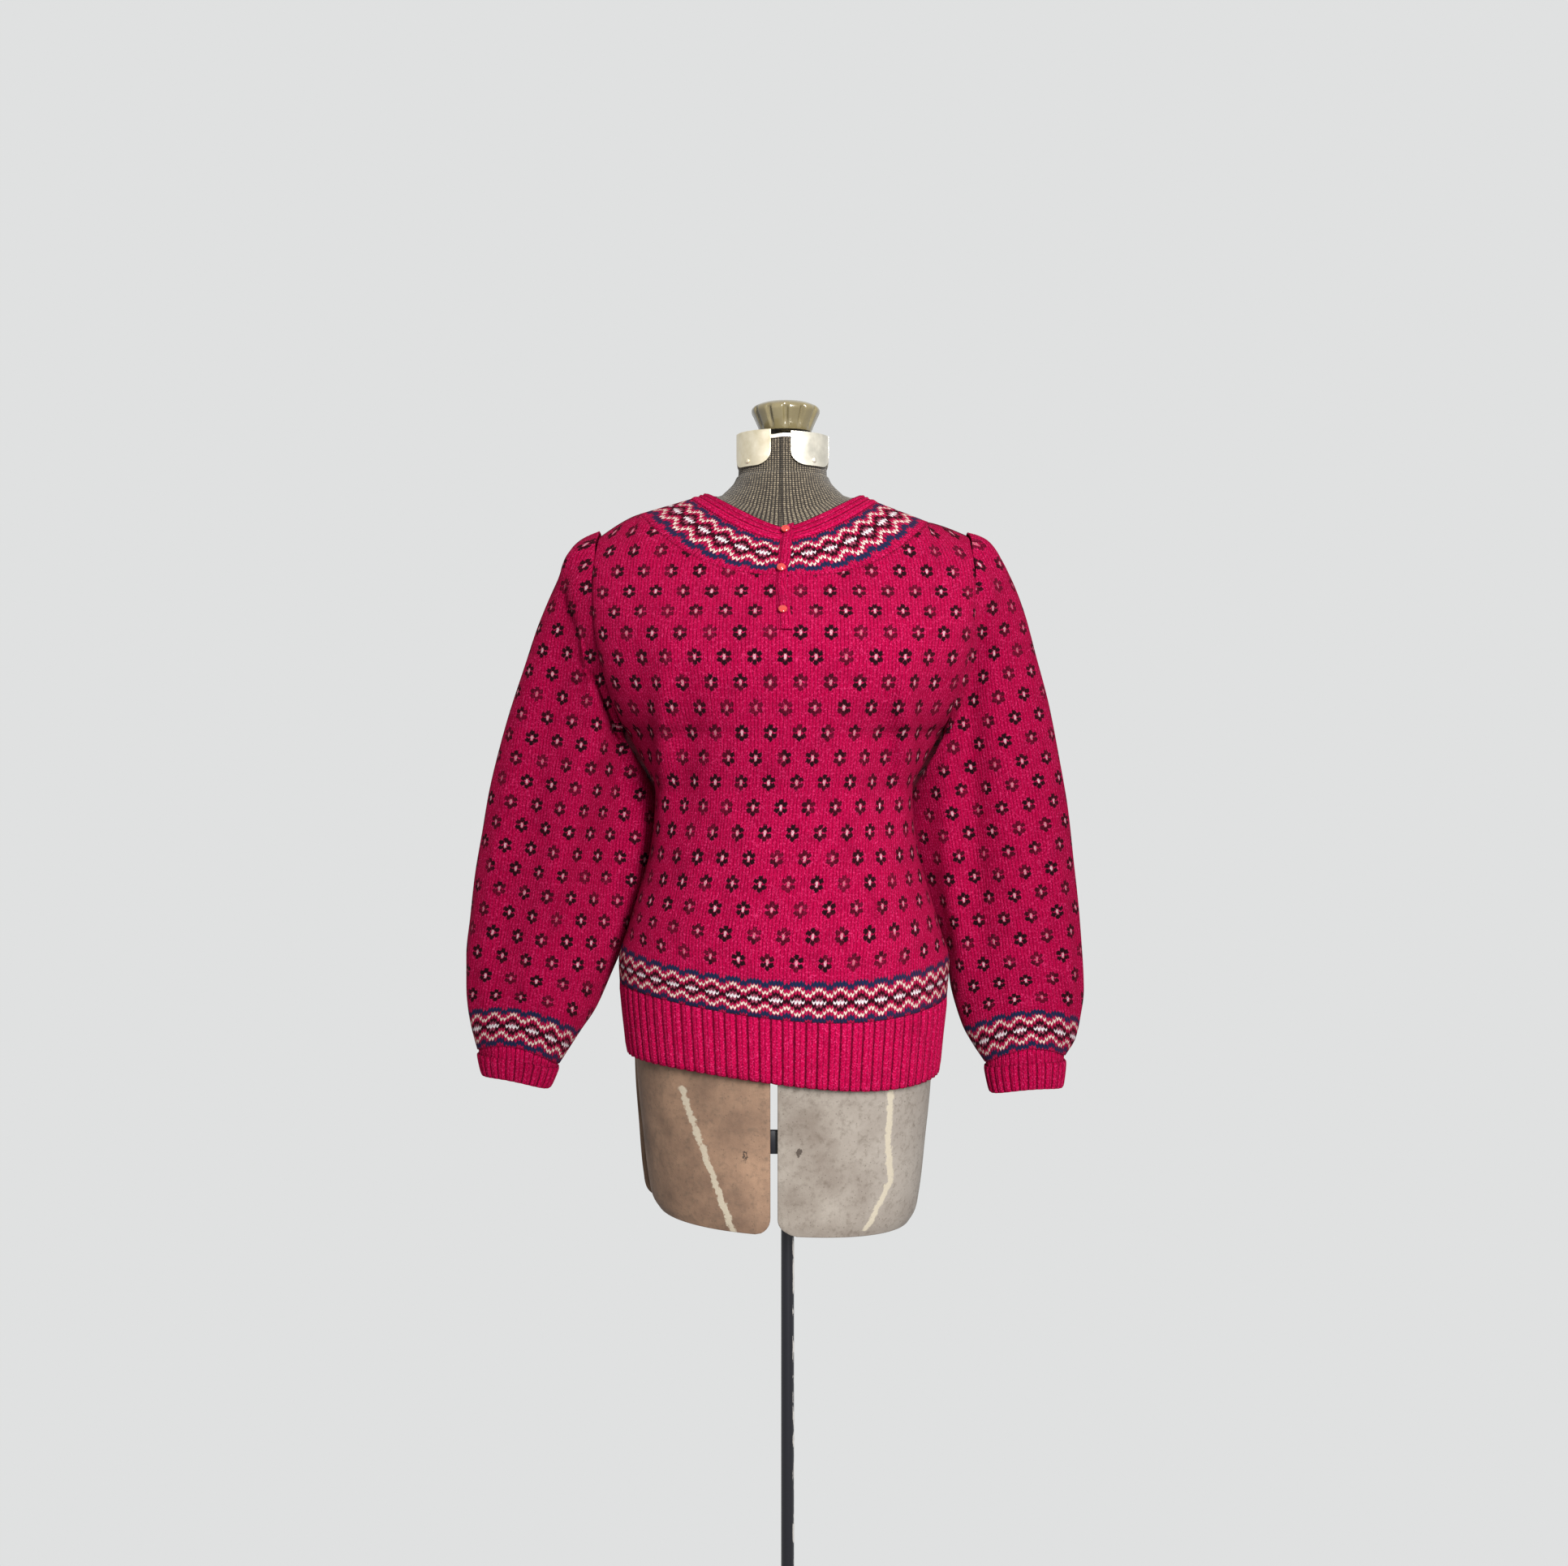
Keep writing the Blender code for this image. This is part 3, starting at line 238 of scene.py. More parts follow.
def body_point(panel, across, level):
    sign = -1 if panel == "front" else 1
    angle = (1 - across) * math.pi / 2
    if level <= UNDERARM_Z:
        power = 2 / body["squareness"](level)
        share = signed_power(math.cos(angle), power)
        z = level + sag_height(body["half_width"](level) * share, level)
        x = body["half_width"](z) * share
        depth = body[panel](z) * max(0.0, math.sin(angle)) ** power
        return np.array((x, sign * (depth + fold_height(panel, x, z)), z))
    rise = (level - UNDERARM_Z) / (SHOULDER_Z - UNDERARM_Z)
    power = (1 - rise) * 2 / body["squareness"](UNDERARM_Z) + rise
    share = signed_power(math.cos(angle), power)
    x = armhole_x(level) * share
    top = body_top(panel, share)
    z = UNDERARM_Z + rise * (top[2] - UNDERARM_Z)
    seam_y = armhole_y(level)
    bulge = chest_bulge(angle, rise)
    blend = rise**8
    chest_y = (1 - blend) * (body[panel](z) - seam_y) * bulge
    top_y = blend * (abs(top[1]) - seam_y * bulge)
    folds = fold_height(panel, x, z) * (1 - rise)
    return np.array((x, sign * (seam_y + chest_y + top_y + folds), z))


# %% [markdown]
# Stitches are counted from the same surface. A course, one row of knitting, is 3 mm tall, or a little
# less in the band, and a wale, one column, about 3.3 mm wide. Courses are counted up the front along its
# slope, so that the flowers keep their size where the chest leans back, and wales are counted outwards
# from a line near the middle, which leans to the right on its way up.

# %% Counting stitches on the body
COURSE, BAND_COURSE = 2.94, 2.8
BAND_STITCHES, BAND_ROWS = 6, 14


def courses_in(length, course=COURSE):
    """Courses in a length of cloth that starts with the band."""
    band = BAND_ROWS * BAND_COURSE
    return np.where(length < band, length / BAND_COURSE, BAND_ROWS + (length - band) / course)


def slope_length():
    """Heights, and the length of cloth from the hem rib up to each."""
    heights = np.arange(RIB_TOP_Z, 1345, 2.0)
    depths = np.array([body["front"](z) for z in heights])
    steps = np.hypot(np.diff(heights), np.diff(depths))
    return heights, np.concatenate([[0], np.cumsum(steps)])


heights, lengths = slope_length()


def course_at(z):
    return float(courses_in(np.interp(z, heights, lengths)))


def even_shares(panel, level, count):
    """Shares across a panel that lie equally far apart along the cloth, and its whole width."""
    fine = np.linspace(-1, 1, 300)
    line = np.array([body_point(panel, a, level) for a in fine])
    run = np.concatenate([[0], np.cumsum(np.linalg.norm(np.diff(line, axis=0), axis=1))])
    return np.interp(np.linspace(0, run[-1], count + 1), run, fine), run[-1]


print("the front is", round(course_at(1256)), "courses tall at the middle")

# %% [markdown]
# One function bends every sheet. bmesh makes a flat grid, each corner of a face gets its stitch count
# as a UV, and then each point moves to its place on the form. A tube is a grid whose first and last
# columns meet and are merged. Solidify gives the cloth its thickness, inwards.

# %% Bending a grid into cloth
def bent_grid(name, columns, rows, place, stitch, thickness, closed=False):
    """A sheet of cloth. place and stitch take column and row numbers."""
    shape = bmesh.new()
    bmesh.ops.create_grid(shape, x_segments=columns, y_segments=rows, size=0.5)
    uv = shape.loops.layers.uv.new("stitches")
    where = {v: (round((v.co.x + 0.5) * columns), round((v.co.y + 0.5) * rows)) for v in shape.verts}
    for face in shape.faces:
        for loop in face.loops:
            loop[uv].uv = stitch(*where[loop.vert])
    for vert, at in where.items():
        vert.co = Vector(place(*at)) * MM
    if closed:
        bmesh.ops.remove_doubles(shape, verts=shape.verts, dist=0.05 * MM)
    middle = sum((v.co for v in shape.verts), Vector()) / len(shape.verts)
    outward = sum((f.normal.dot(f.calc_center_median() - middle) for f in refreshed(shape)), 0.0)
    if outward < 0:
        bmesh.ops.reverse_faces(shape, faces=shape.faces[:])
    piece = link_shape(name, shape)
    if thickness:
        wall = piece.modifiers.new("cloth", "SOLIDIFY")
        wall.thickness = thickness * MM
        wall.offset = -1
    return piece


def refreshed(shape):
    shape.normal_update()
    return shape.faces


def link_shape(name, shape, angle=50):
    mesh = bpy.data.meshes.new(name)
    shape.to_mesh(mesh)
    shape.free()
    mesh.shade_smooth()
    mesh.set_sharp_from_angle(angle=math.radians(angle))
    piece = bpy.data.objects.new(name, mesh)
    bpy.context.scene.collection.objects.link(piece)
    return piece


def dress(piece, look, nodes, carrier=STAND):
    """Gives a piece its finish, and puts it in the place of its solids."""
    piece.data.materials.append(look)
    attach(piece, carrier)
    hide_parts(*nodes)


# %% [markdown]
# Colours are read as the eye sees them on a screen, so one function turns them into the linear values
# that a shader adds up. Another adds one node with its settings and links: every material below is
# built with it.

# %% Colours and nodes
def linear(colour):
    """An sRGB hex value as linear red, green, blue and alpha."""
    parts = [int(colour[i : i + 2], 16) / 255 for i in (1, 3, 5)]
    return (*[c / 12.92 if c <= 0.04045 else ((c + 0.055) / 1.055) ** 2.4 for c in parts], 1.0)


def add(tree, kind, inputs=None, **settings):
    """Adds a node. An input is a value, or a node whose first output it takes, or a socket."""
    made = tree.nodes.new(kind)
    for name, value in settings.items():
        setattr(made, name, value)
    for key, value in (inputs or {}).items():
        if isinstance(value, bpy.types.Node):
            value = value.outputs[0]
        if isinstance(value, bpy.types.NodeSocket):
            tree.links.new(value, made.inputs[key])
        else:
            made.inputs[key].default_value = value
    return made


def new_material(name):
    made = bpy.data.materials.new(name)
    made.use_nodes = True
    tree = made.node_tree
    return made, tree, tree.nodes["Principled BSDF"]


def math_chain(tree, start, *steps):
    """Runs a value through simple sums, such as ("MULTIPLY", 2)."""
    value = start
    for operation, *numbers in steps:
        inputs = {0: value}
        for i, number in enumerate(numbers):
            inputs[i + 1] = number
        value = add(tree, "ShaderNodeMath", inputs, operation=operation)
    return value


def mixed(tree, factor, first, second):
    """A colour between two: each is a hex value or a socket."""
    inputs = {"Factor": factor}
    for key, colour in (("A", first), ("B", second)):
        inputs[key] = linear(colour) if isinstance(colour, str) else colour
    made = tree.nodes.new("ShaderNodeMix")
    made.data_type = "RGBA"
    sockets = {"Factor": made.inputs[0], "A": made.inputs[6], "B": made.inputs[7]}
    for key, value in inputs.items():
        if isinstance(value, bpy.types.Node):
            value = value.outputs[0]
        if isinstance(value, bpy.types.NodeSocket):
            tree.links.new(value, sockets[key])
        else:
            sockets[key].default_value = value
    return made.outputs[2]


# %% [markdown]
# The yarn is a crimson wool with mohair: light hairs lie over a darker core, so the colour is flecked
# and the edges catch the light. Each stitch of stocking stitch is a V of two legs. Its courses
# therefore don't meet in straight lines: a course dips in the middle of each wale, which gives the
# pattern its soft stepped edges. The shader bends its own coordinates in the same way, and a little
# noise stands for the hairs that stray over the border between two colours. The wales are rounded
# columns with a valley between them, and the two legs are a finer wave on each.

# %% The stitch
V_DIP = 1.8


def stitch_fields(tree, wander=0.13):
    """The wale and course of each place, as numbers with fractions, and the stitch's height."""
    uv = add(tree, "ShaderNodeUVMap", uv_map="stitches")
    place = add(tree, "ShaderNodeTexCoord")
    stray = add(
        tree,
        "ShaderNodeTexNoise",
        {"Vector": place.outputs["Object"], "Scale": 620.0, "Detail": 2.0},
    )
    shift = math_chain(tree, stray, ("SUBTRACT", 0.5), ("MULTIPLY", wander * 4))
    split = add(tree, "ShaderNodeSeparateXYZ", {0: uv})
    wale = math_chain(tree, split.outputs[0], ("ADD", shift.outputs[0]))
    across = math_chain(tree, wale, ("FRACT",), ("SUBTRACT", 0.5), ("ABSOLUTE",))
    dip = math_chain(tree, across, ("MULTIPLY", V_DIP), ("SUBTRACT", V_DIP / 4))
    course = math_chain(tree, split.outputs[1], ("SUBTRACT", dip.outputs[0]), ("ADD", shift.outputs[0]))
    column = math_chain(tree, wale, ("MULTIPLY", math.pi), ("SINE",), ("ABSOLUTE",), ("MULTIPLY", 0.62))
    legs = math_chain(
        tree,
        wale,
        ("MULTIPLY", 2 * math.pi),
        ("SINE",),
        ("ABSOLUTE",),
        ("MULTIPLY", 0.38),
        ("ADD", column.outputs[0]),
    )
    loops = math_chain(
        tree, course, ("MULTIPLY", math.pi), ("SINE",), ("ABSOLUTE",), ("MULTIPLY", 0.55), ("ADD", 0.45)
    )
    height = math_chain(tree, legs, ("MULTIPLY", loops.outputs[0]))
    return wale, course, height, place


def equals(tree, value, number, slack=0.25):
    return math_chain(tree, value, ("COMPARE", number, slack))


# %% [markdown]
# The pattern is the usual charted kind, so it is written as a chart. A small flower is 3 stitches wide
# and 5 rows tall: six dark stitches round a light middle. Flowers stand 8 stitches apart, and every
# other row of them is shifted by half, so one chart of 8 by 8 stitches is enough: each second
# block of 8 rows is read 4 stitches to the side. The dark yarn is mohair and swells over its neighbours,
# so each dark stitch is drawn as a soft oval, wider than the stitch and with a flatter dip.
# The band is 14 rows tall and repeats every 6 stitches, mirrored left to right and top to bottom. A
# place in it is found by how many stitches it lies from the lozenge's middle column and how many rows
# from the band's middle.

# %% The flower chart and the band chart
FLOWER_REPEAT = 8
PETAL_DIP = 0.6
PETALS = (
    # stitches beside and rows above the middle, half width and half height
    (0.0, 1.88, 0.7, 0.86),
    (1.14, 0.95, 0.78, 0.82),
)


def squared(tree, value, middle, half):
    return math_chain(tree, value, ("SUBTRACT", middle), ("DIVIDE", half), ("POWER", 2.0))


def flower_masks(tree, wale, course, start, hairs):
    """How dark and how light a place is in its flower. Hairs cross the borders of its petals."""
    dip = math_chain(tree, wale, ("FRACT",), ("SUBTRACT", 0.5), ("ABSOLUTE",), ("SUBTRACT", 0.25))
    level = math_chain(tree, dip, ("MULTIPLY", V_DIP - PETAL_DIP), ("ADD", course.outputs[0]))
    level = math_chain(tree, level, ("SUBTRACT", start))
    block = math_chain(tree, level, ("DIVIDE", float(FLOWER_REPEAT)), ("FLOOR",))
    shift = math_chain(tree, block, ("MULTIPLY", FLOWER_REPEAT / 2), ("SUBTRACT", 0.5))
    wrapped = (("FLOORED_MODULO", float(FLOWER_REPEAT)), ("SUBTRACT", FLOWER_REPEAT / 2), ("ABSOLUTE",))
    beside = math_chain(tree, wale, ("ADD", shift.outputs[0]), *wrapped)
    above = math_chain(
        tree, level, ("FLOORED_MODULO", float(FLOWER_REPEAT)), ("SUBTRACT", FLOWER_REPEAT / 2 + 0.5), ("ABSOLUTE",)
    )
    nearest = None
    for x, y, half_x, half_y in PETALS:
        width = squared(tree, beside, x, half_x)
        off = math_chain(tree, squared(tree, above, y, half_y), ("ADD", width.outputs[0]))
        nearest = off if nearest is None else math_chain(tree, nearest, ("MINIMUM", off.outputs[0]))
    ragged = math_chain(tree, hairs, ("SUBTRACT", 0.5), ("MULTIPLY", 2.4), ("ADD", nearest.outputs[0]))
    dark = math_chain(tree, ragged, ("MULTIPLY", -1.8), ("ADD", 2.4), ("MAXIMUM", 0.0), ("MINIMUM", 1.0))
    width = squared(tree, beside, 0.0, 0.55)
    middle = math_chain(tree, squared(tree, above, 0.0, 1.0), ("ADD", width.outputs[0]))
    light = math_chain(tree, middle, ("MULTIPLY", -1.3), ("ADD", 1.5), ("MAXIMUM", 0.0), ("MINIMUM", 1.0))
    return dark, light


def band_masks(tree, wale, course, top_row):
    """Masks of the band: inside it, navy, cream, black, the white bar and the mixed stitches by it."""
    off = math_chain(tree, course, ("SUBTRACT", top_row - BAND_ROWS / 2), ("ABSOLUTE",))
    side = math_chain(
        tree,
        wale,
        ("FLOOR",),
        ("FLOORED_MODULO", float(BAND_STITCHES)),
        ("SUBTRACT", (BAND_STITCHES - 1) / 2),
        ("ABSOLUTE",),
        ("SUBTRACT", 0.5),
    )
    inside = math_chain(tree, off, ("LESS_THAN", BAND_ROWS / 2))
    scallop = math_chain(tree, side, ("SUBTRACT", 1.0), ("MAXIMUM", 0.0), ("ADD", off.outputs[0]))
    slant = math_chain(tree, off, ("ADD", side.outputs[0]))
    navy = math_chain(tree, scallop, ("COMPARE", 6.15, 0.9))
    cream = math_chain(tree, slant, ("COMPARE", 4.4, 0.46))
    black = math_chain(tree, slant, ("COMPARE", 2.05, 0.7))
    inner = math_chain(tree, slant, ("LESS_THAN", 1.5))
    reach = math_chain(tree, side, ("MULTIPLY", 0.2), ("ADD", off.outputs[0]))
    low = math_chain(tree, reach, ("LESS_THAN", 0.55))
    wide = math_chain(tree, side, ("LESS_THAN", 1.5))
    bar = math_chain(tree, low, ("MULTIPLY", wide.outputs[0]))
    return inside, navy, cream, black, inner, bar


def yarn_ground(tree, place, height, bright="#880230", deep="#480016", fleck="#A82856"):
    """The crimson yarn: painted shade deep between the legs, bright on them, with light hairs in it."""
    hairs = add(
        tree,
        "ShaderNodeTexNoise",
        {"Vector": place.outputs["Object"], "Scale": 640.0, "Detail": 3.0, "Roughness": 0.65},
    )
    patches = add(
        tree, "ShaderNodeTexNoise", {"Vector": place.outputs["Object"], "Scale": 45.0, "Detail": 2.0}
    )
    # Painted shade: the colour goes from deep in the hollows between legs and loops to bright on their tops.
    painted_relief_shade = math_chain(tree, height, ("MULTIPLY", 0.95), ("ADD", 0.14), ("MINIMUM", 1.0))
    ground = mixed(tree, painted_relief_shade, deep, bright)
    haze = math_chain(tree, hairs, ("SUBTRACT", 0.54), ("MULTIPLY", 7.0), ("MAXIMUM", 0.0), ("MINIMUM", 0.62))
    ground = mixed(tree, haze, ground, fleck)
    shade = math_chain(tree, patches, ("SUBTRACT", 0.5), ("MULTIPLY", 1.1), ("MAXIMUM", 0.0))
    return mixed(tree, shade, ground, deep), hairs


def wool_shader(tree, shader, colour, height, hairs, depth=1.2):
    relief = math_chain(tree, hairs, ("MULTIPLY", 0.4), ("ADD", height.outputs[0]))
    bump = add(
        tree,
        "ShaderNodeBump",
        {"Height": relief, "Strength": 0.95, "Distance": depth * MM},
    )
    tree.links.new(colour, shader.inputs["Base Color"])
    tree.links.new(bump.outputs[0], shader.inputs["Normal"])
    shader.inputs["Roughness"].default_value = 0.95
    shader.inputs["Specular IOR Level"].default_value = 0.03
    shader.inputs["Sheen Weight"].default_value = 0.05
    shader.inputs["Sheen Roughness"].default_value = 0.5
    shader.inputs["Sheen Tint"].default_value = linear("#F03060")


def patterned_wool(name, band_top, flowers_from):
    """Crimson stocking stitch with the band up to one row and flowers from another."""
    made, tree, shader = new_material(name)
    wale, course, height, place = stitch_fields(tree)
    colour, hairs = yarn_ground(tree, place, height)
    dark, light = flower_masks(tree, wale, course, flowers_from, hairs)
    above = math_chain(tree, course, ("GREATER_THAN", flowers_from - 0.5))
    dark = math_chain(tree, dark, ("MULTIPLY", above.outputs[0]))
    soft = add(
        tree, "ShaderNodeTexNoise", {"Vector": place.outputs["Object"], "Scale": 34.0, "Detail": 1.0}
    )
    strong = math_chain(tree, soft, ("SUBTRACT", 0.25), ("MULTIPLY", 2.4), ("MINIMUM", 0.95), ("MAXIMUM", 0.25))
    bold = math_chain(tree, soft, ("MULTIPLY", 1.9), ("MINIMUM", 1.0), ("MAXIMUM", 0.7))
    dark = math_chain(tree, dark, ("MULTIPLY", bold.outputs[0]))
    strand = math_chain(tree, height, ("SUBTRACT", 0.3), ("MULTIPLY", 4.0), ("MAXIMUM", 0.15), ("MINIMUM", 1.0))
    light = math_chain(
        tree,
        light,
        ("MULTIPLY", above.outputs[0]),
        ("MULTIPLY", strong.outputs[0]),
        ("MULTIPLY", strand.outputs[0]),
    )
    colour = mixed(tree, light, colour, "#9C8086")
    colour = mixed(tree, dark, colour, "#100509")
    colour = band_colours(tree, colour, height, *band_masks(tree, wale, course, band_top))
    wool_shader(tree, shader, colour, height, hairs)
    return made


def band_colours(tree, colour, height, inside, *masks):
    """Lays the band's yarns over the ground, inside the band only, and paints shade into the hollows between its
    stitches.
    """
    yarns = (("#0B1B33", 1.0), ("#AA9A90", 0.95), ("#0A0508", 0.98), ("#6A3343", 0.8), ("#AFABAC", 0.9))
    factor = math_chain(tree, inside, ("MULTIPLY", 0.45))
    colour = mixed(tree, factor, colour, "#7E1030")
    for mask, (yarn, cover) in zip(masks, yarns):
        factor = math_chain(tree, inside, ("MULTIPLY", mask.outputs[0]), ("MULTIPLY", cover))
        colour = mixed(tree, factor, colour, yarn)
    # Painted shade: near black laid into the hollows between the band's stitches.
    painted_hollow_shade = math_chain(tree, height, ("MULTIPLY", -0.9), ("ADD", 0.55), ("MAXIMUM", 0.0))
    painted_hollow_shade = math_chain(tree, painted_hollow_shade, ("MULTIPLY", inside.outputs[0]))
    return mixed(tree, painted_hollow_shade, colour, "#12040B")


body_wool = patterned_wool("crimson_wool_with_flowers", BAND_ROWS, BAND_ROWS + 1)
yoke_wool = patterned_wool("fair_isle_yoke_wool", BAND_ROWS + 2, 60)
print("flower and band charts are in", body_wool.name, "and", yoke_wool.name)

# %% [markdown]
# Ribbing is the same yarn with no pattern. The rib is real shape here, two wales to each ridge, so its
# shader draws the stitches that run up each ridge and darkens the valleys, where little light comes.

# %% Plain ribbing and edging
def plain_wool(name, bright="#8C0231", deep="#4C0018"):
    made, tree, shader = new_material(name)
    wale, course, height, place = stitch_fields(tree)
    colour, hairs = yarn_ground(tree, place, height, bright, deep)
    valley = math_chain(tree, wale, ("MULTIPLY", math.pi / 2), ("SINE",), ("ABSOLUTE",))
    valley = math_chain(tree, valley, ("MULTIPLY", -2.0), ("ADD", 0.9), ("MAXIMUM", 0.0))
    colour = mixed(tree, valley, colour, "#3E0012")
    wool_shader(tree, shader, colour, height, hairs, 1.0)
    return made


rib_wool = plain_wool("crimson_rib_wool")

# %% [markdown]
# Front and back are bent grids with a point every few millimetres. The solids leave 0.3 mm free at each
# seam; the cloth that is seen comes closer, so that no gap shows between two pieces.

# %% Front and back
TOUCH = 0.05
FIRST_WALE = 401.25  # where the middle line falls in the repeats of the flowers and of the band


def body_sheet(panel, columns, rows):
    levels = np.linspace(RIB_TOP_Z + SEAM, SHOULDER_Z - TOUCH, rows + 1)
    sign = -1 if panel == "front" else 1
    points = {}
    for row in range(rows + 1):
        for column in range(columns + 1):
            point = body_point(panel, 2 * column / columns - 1, levels[row])
            point[1] = sign * max(sign * point[1], TOUCH)
            points[column, row] = point
    wales = {}
    for row in range(rows + 1):
        line = np.array([points[c, row] for c in range(columns + 1)])
        run = np.concatenate([[0], np.cumsum(np.linalg.norm(np.diff(line, axis=0)[:, :2], axis=1))])
        middle = np.interp(body["lean"](levels[row]), line[:, 0], run)
        wales[row] = (run - middle) / body["wale"](levels[row])

    def stitch(column, row):
        level = levels[row]
        return wales[row][column] + FIRST_WALE, course_at(level if level < UNDERARM_Z else points[column, row][2])

    piece = bent_grid(panel + "_knit", columns, rows, lambda c, r: points[c, r], stitch, CLOTH)
    dress(piece, body_wool, ["body_" + panel])
    return piece


front = body_sheet("front", 130, 120)
back = body_sheet("back", 110, 100)
print("front and back:", len(front.data.vertices), len(back.data.vertices), "points")

# %% [markdown]
# The yoke is worked separately and sewn on, so its stitches run round the neck. The number of stitches
# stays the same from edge to edge, which makes the lozenges narrower towards the neck.

# %% Yoke
PART_ANGLE = -math.acos(1.5 / YOKE_X)
YOKE_COURSES = 16.5
ring_angles = np.linspace(-math.pi, math.pi, 721)
ring_line = np.array([neck_ring(1.45, a) for a in ring_angles])
ring_run = np.concatenate([[0], np.cumsum(np.linalg.norm(np.diff(ring_line, axis=0), axis=1))])
yoke_wales = round(ring_run[-1] / 3.6 / BAND_STITCHES) * BAND_STITCHES


def yoke_wale(angle):
    return float(np.interp(angle, ring_angles, ring_run)) / ring_run[-1] * yoke_wales + 600


def neck_normal(ring, angle):
    step = 0.02
    around = neck_ring(ring, angle + step) - neck_ring(ring, angle - step)
    outward = neck_ring(min(ring + step, 2), angle) - neck_ring(max(ring - step, 0), angle)
    normal = np.cross(outward, around)
    return normal / np.linalg.norm(normal)


def yoke_sheet(name, start, stop, columns, rows=14):
    angles = np.linspace(start, stop, columns + 1)
    rings = np.linspace(1.006, 1.999, rows + 1)

    def place(column, row):
        return neck_ring(rings[row], angles[column])

    def stitch(column, row):
        return yoke_wale(angles[column]), YOKE_COURSES * (2 - rings[row])

    piece = bent_grid(name + "_knit", columns, rows, place, stitch, CLOTH)
    dress(piece, yoke_wool, [name])
    return piece


gap = 0.0008
yoke_pieces = [
    yoke_sheet("yoke_left", -math.pi + gap, PART_ANGLE - gap, 48),
    yoke_sheet("yoke_right", PART_ANGLE + gap, -gap, 48),
    yoke_sheet("yoke_back", gap, math.pi - gap, 96),
]
print("the yoke has", yoke_wales, "stitches round")

# %% [markdown]
# The neckband is a narrow strip of firm ridges, which look crocheted. They are raised in the grid
# itself. The placket rises out of the knit at its left edge, and its right edge stands free, a little
# wavy, over its own shadow.

# %% Neckband and placket
BAND_RIDGE = 1.3


def neckband_sheet():
    columns, rows = 220, 18
    angles = np.linspace(PART_ANGLE + gap, PART_ANGLE + 2 * math.pi - gap, columns + 1)
    rings = np.linspace(0, 0.994, rows + 1)

    def place(column, row):
        angle = angles[column]
        angle = angle - 2 * math.pi if angle > math.pi else angle
        ridge = BAND_RIDGE * (0.5 - 0.5 * math.cos(2 * math.pi * rings[row] * 2.9)) * 0.8
        return neck_ring(rings[row], angle) + neck_normal(rings[row], angle) * ridge

    def stitch(column, row):
        return rings[row] * 5.8, angles[column] * 22

    piece = bent_grid("neckband_knit", columns, rows, place, stitch, RIB_CLOTH)
    dress(piece, rib_wool, ["neckband"])
    return piece


neckband = neckband_sheet()

PLACKET = {
    "drop": (0.03, 0.5, 1, 1.5, 2, 2.2, 2.45, 2.7, 3.0),
    "left_x": (-1.5, -2.2, -3.5, -5.5, -7.5, -8, -7, -6, -5),
    "right_x": (9, 9, 8, 6, 3.2, 1.8, 4.5, 6.8, 6.8),
}
PLACKET_LIFT, PLACKET_CLOTH = 1.7, 2.0
PLAIN_COURSES = 60  # courses this far below the band carry no pattern


def front_point(drop, x):
    """A point down the middle of the front: on the neckband and yoke, then on the body."""
    if drop <= 2:
        return neck_ring(drop, -math.acos(x / neck["side_x"](drop)))
    level = SHOULDER_Z - (drop - 2) * 70
    rise = (level - UNDERARM_Z) / (SHOULDER_Z - UNDERARM_Z)
    power = (1 - rise) * 2 / body["squareness"](UNDERARM_Z) + rise
    angle = math.acos(signed_power(x / armhole_x(level), 1 / power))
    return body_point("front", 1 - 2 * angle / math.pi, level)


def front_normal(drop, x):
    step = 0.04
    down = front_point(drop + step, x) - front_point(max(drop - step, 0), x)
    across = front_point(drop, x + 1) - front_point(drop, x - 1)
    normal = np.cross(down, across)
    return normal / np.linalg.norm(normal)


def placket_sheet():
    columns, rows = 14, 110
    drops = np.linspace(PLACKET["drop"][0], PLACKET["drop"][-1], rows + 1)
    left = curve_through(PLACKET, "drop", "left_x")
    right = curve_through(PLACKET, "drop", "right_x")

    def place(column, row):
        share = column / columns
        drop = drops[row]
        wave = 0.7 * math.sin(9 * drop) + 0.4 * math.sin(23 * drop)
        x = left(drop) + (right(drop) + wave - left(drop)) * share
        rise = min(1.0, share / 0.4)
        rise = rise * rise * (3 - 2 * rise)
        ripple = 0.35 * math.sin(31 * drop) * share
        lift = 0.4 + (PLACKET_LIFT + PLACKET_CLOTH - 0.4) * rise + ripple
        return front_point(drop, x) + front_normal(drop, x) * lift

    def stitch(column, row):
        return 0.5 + column / columns * 3.4, drops[row] * 14 - PLAIN_COURSES

    piece = bent_grid("placket_knit", columns, rows, place, stitch, 1.9)
    dress(piece, body_wool, ["placket"])
    return piece


placket = placket_sheet()
print("neckband and placket:", len(neckband.data.vertices), len(placket.data.vertices), "points")

# %% [markdown]
# The hem rib has 84 ridges, 10 mm apart. Each has a round back and a narrow valley, which an absolute
# sine gives, and the ridges are counted evenly along the cloth so that they keep their width round the
# sides.

# %% Hem rib
def rib_profile(turn):
    """The height of a rib across one repeat, 0 in the valley and 1 on the ridge."""
    return abs(math.sin(math.pi * turn)) ** 0.65


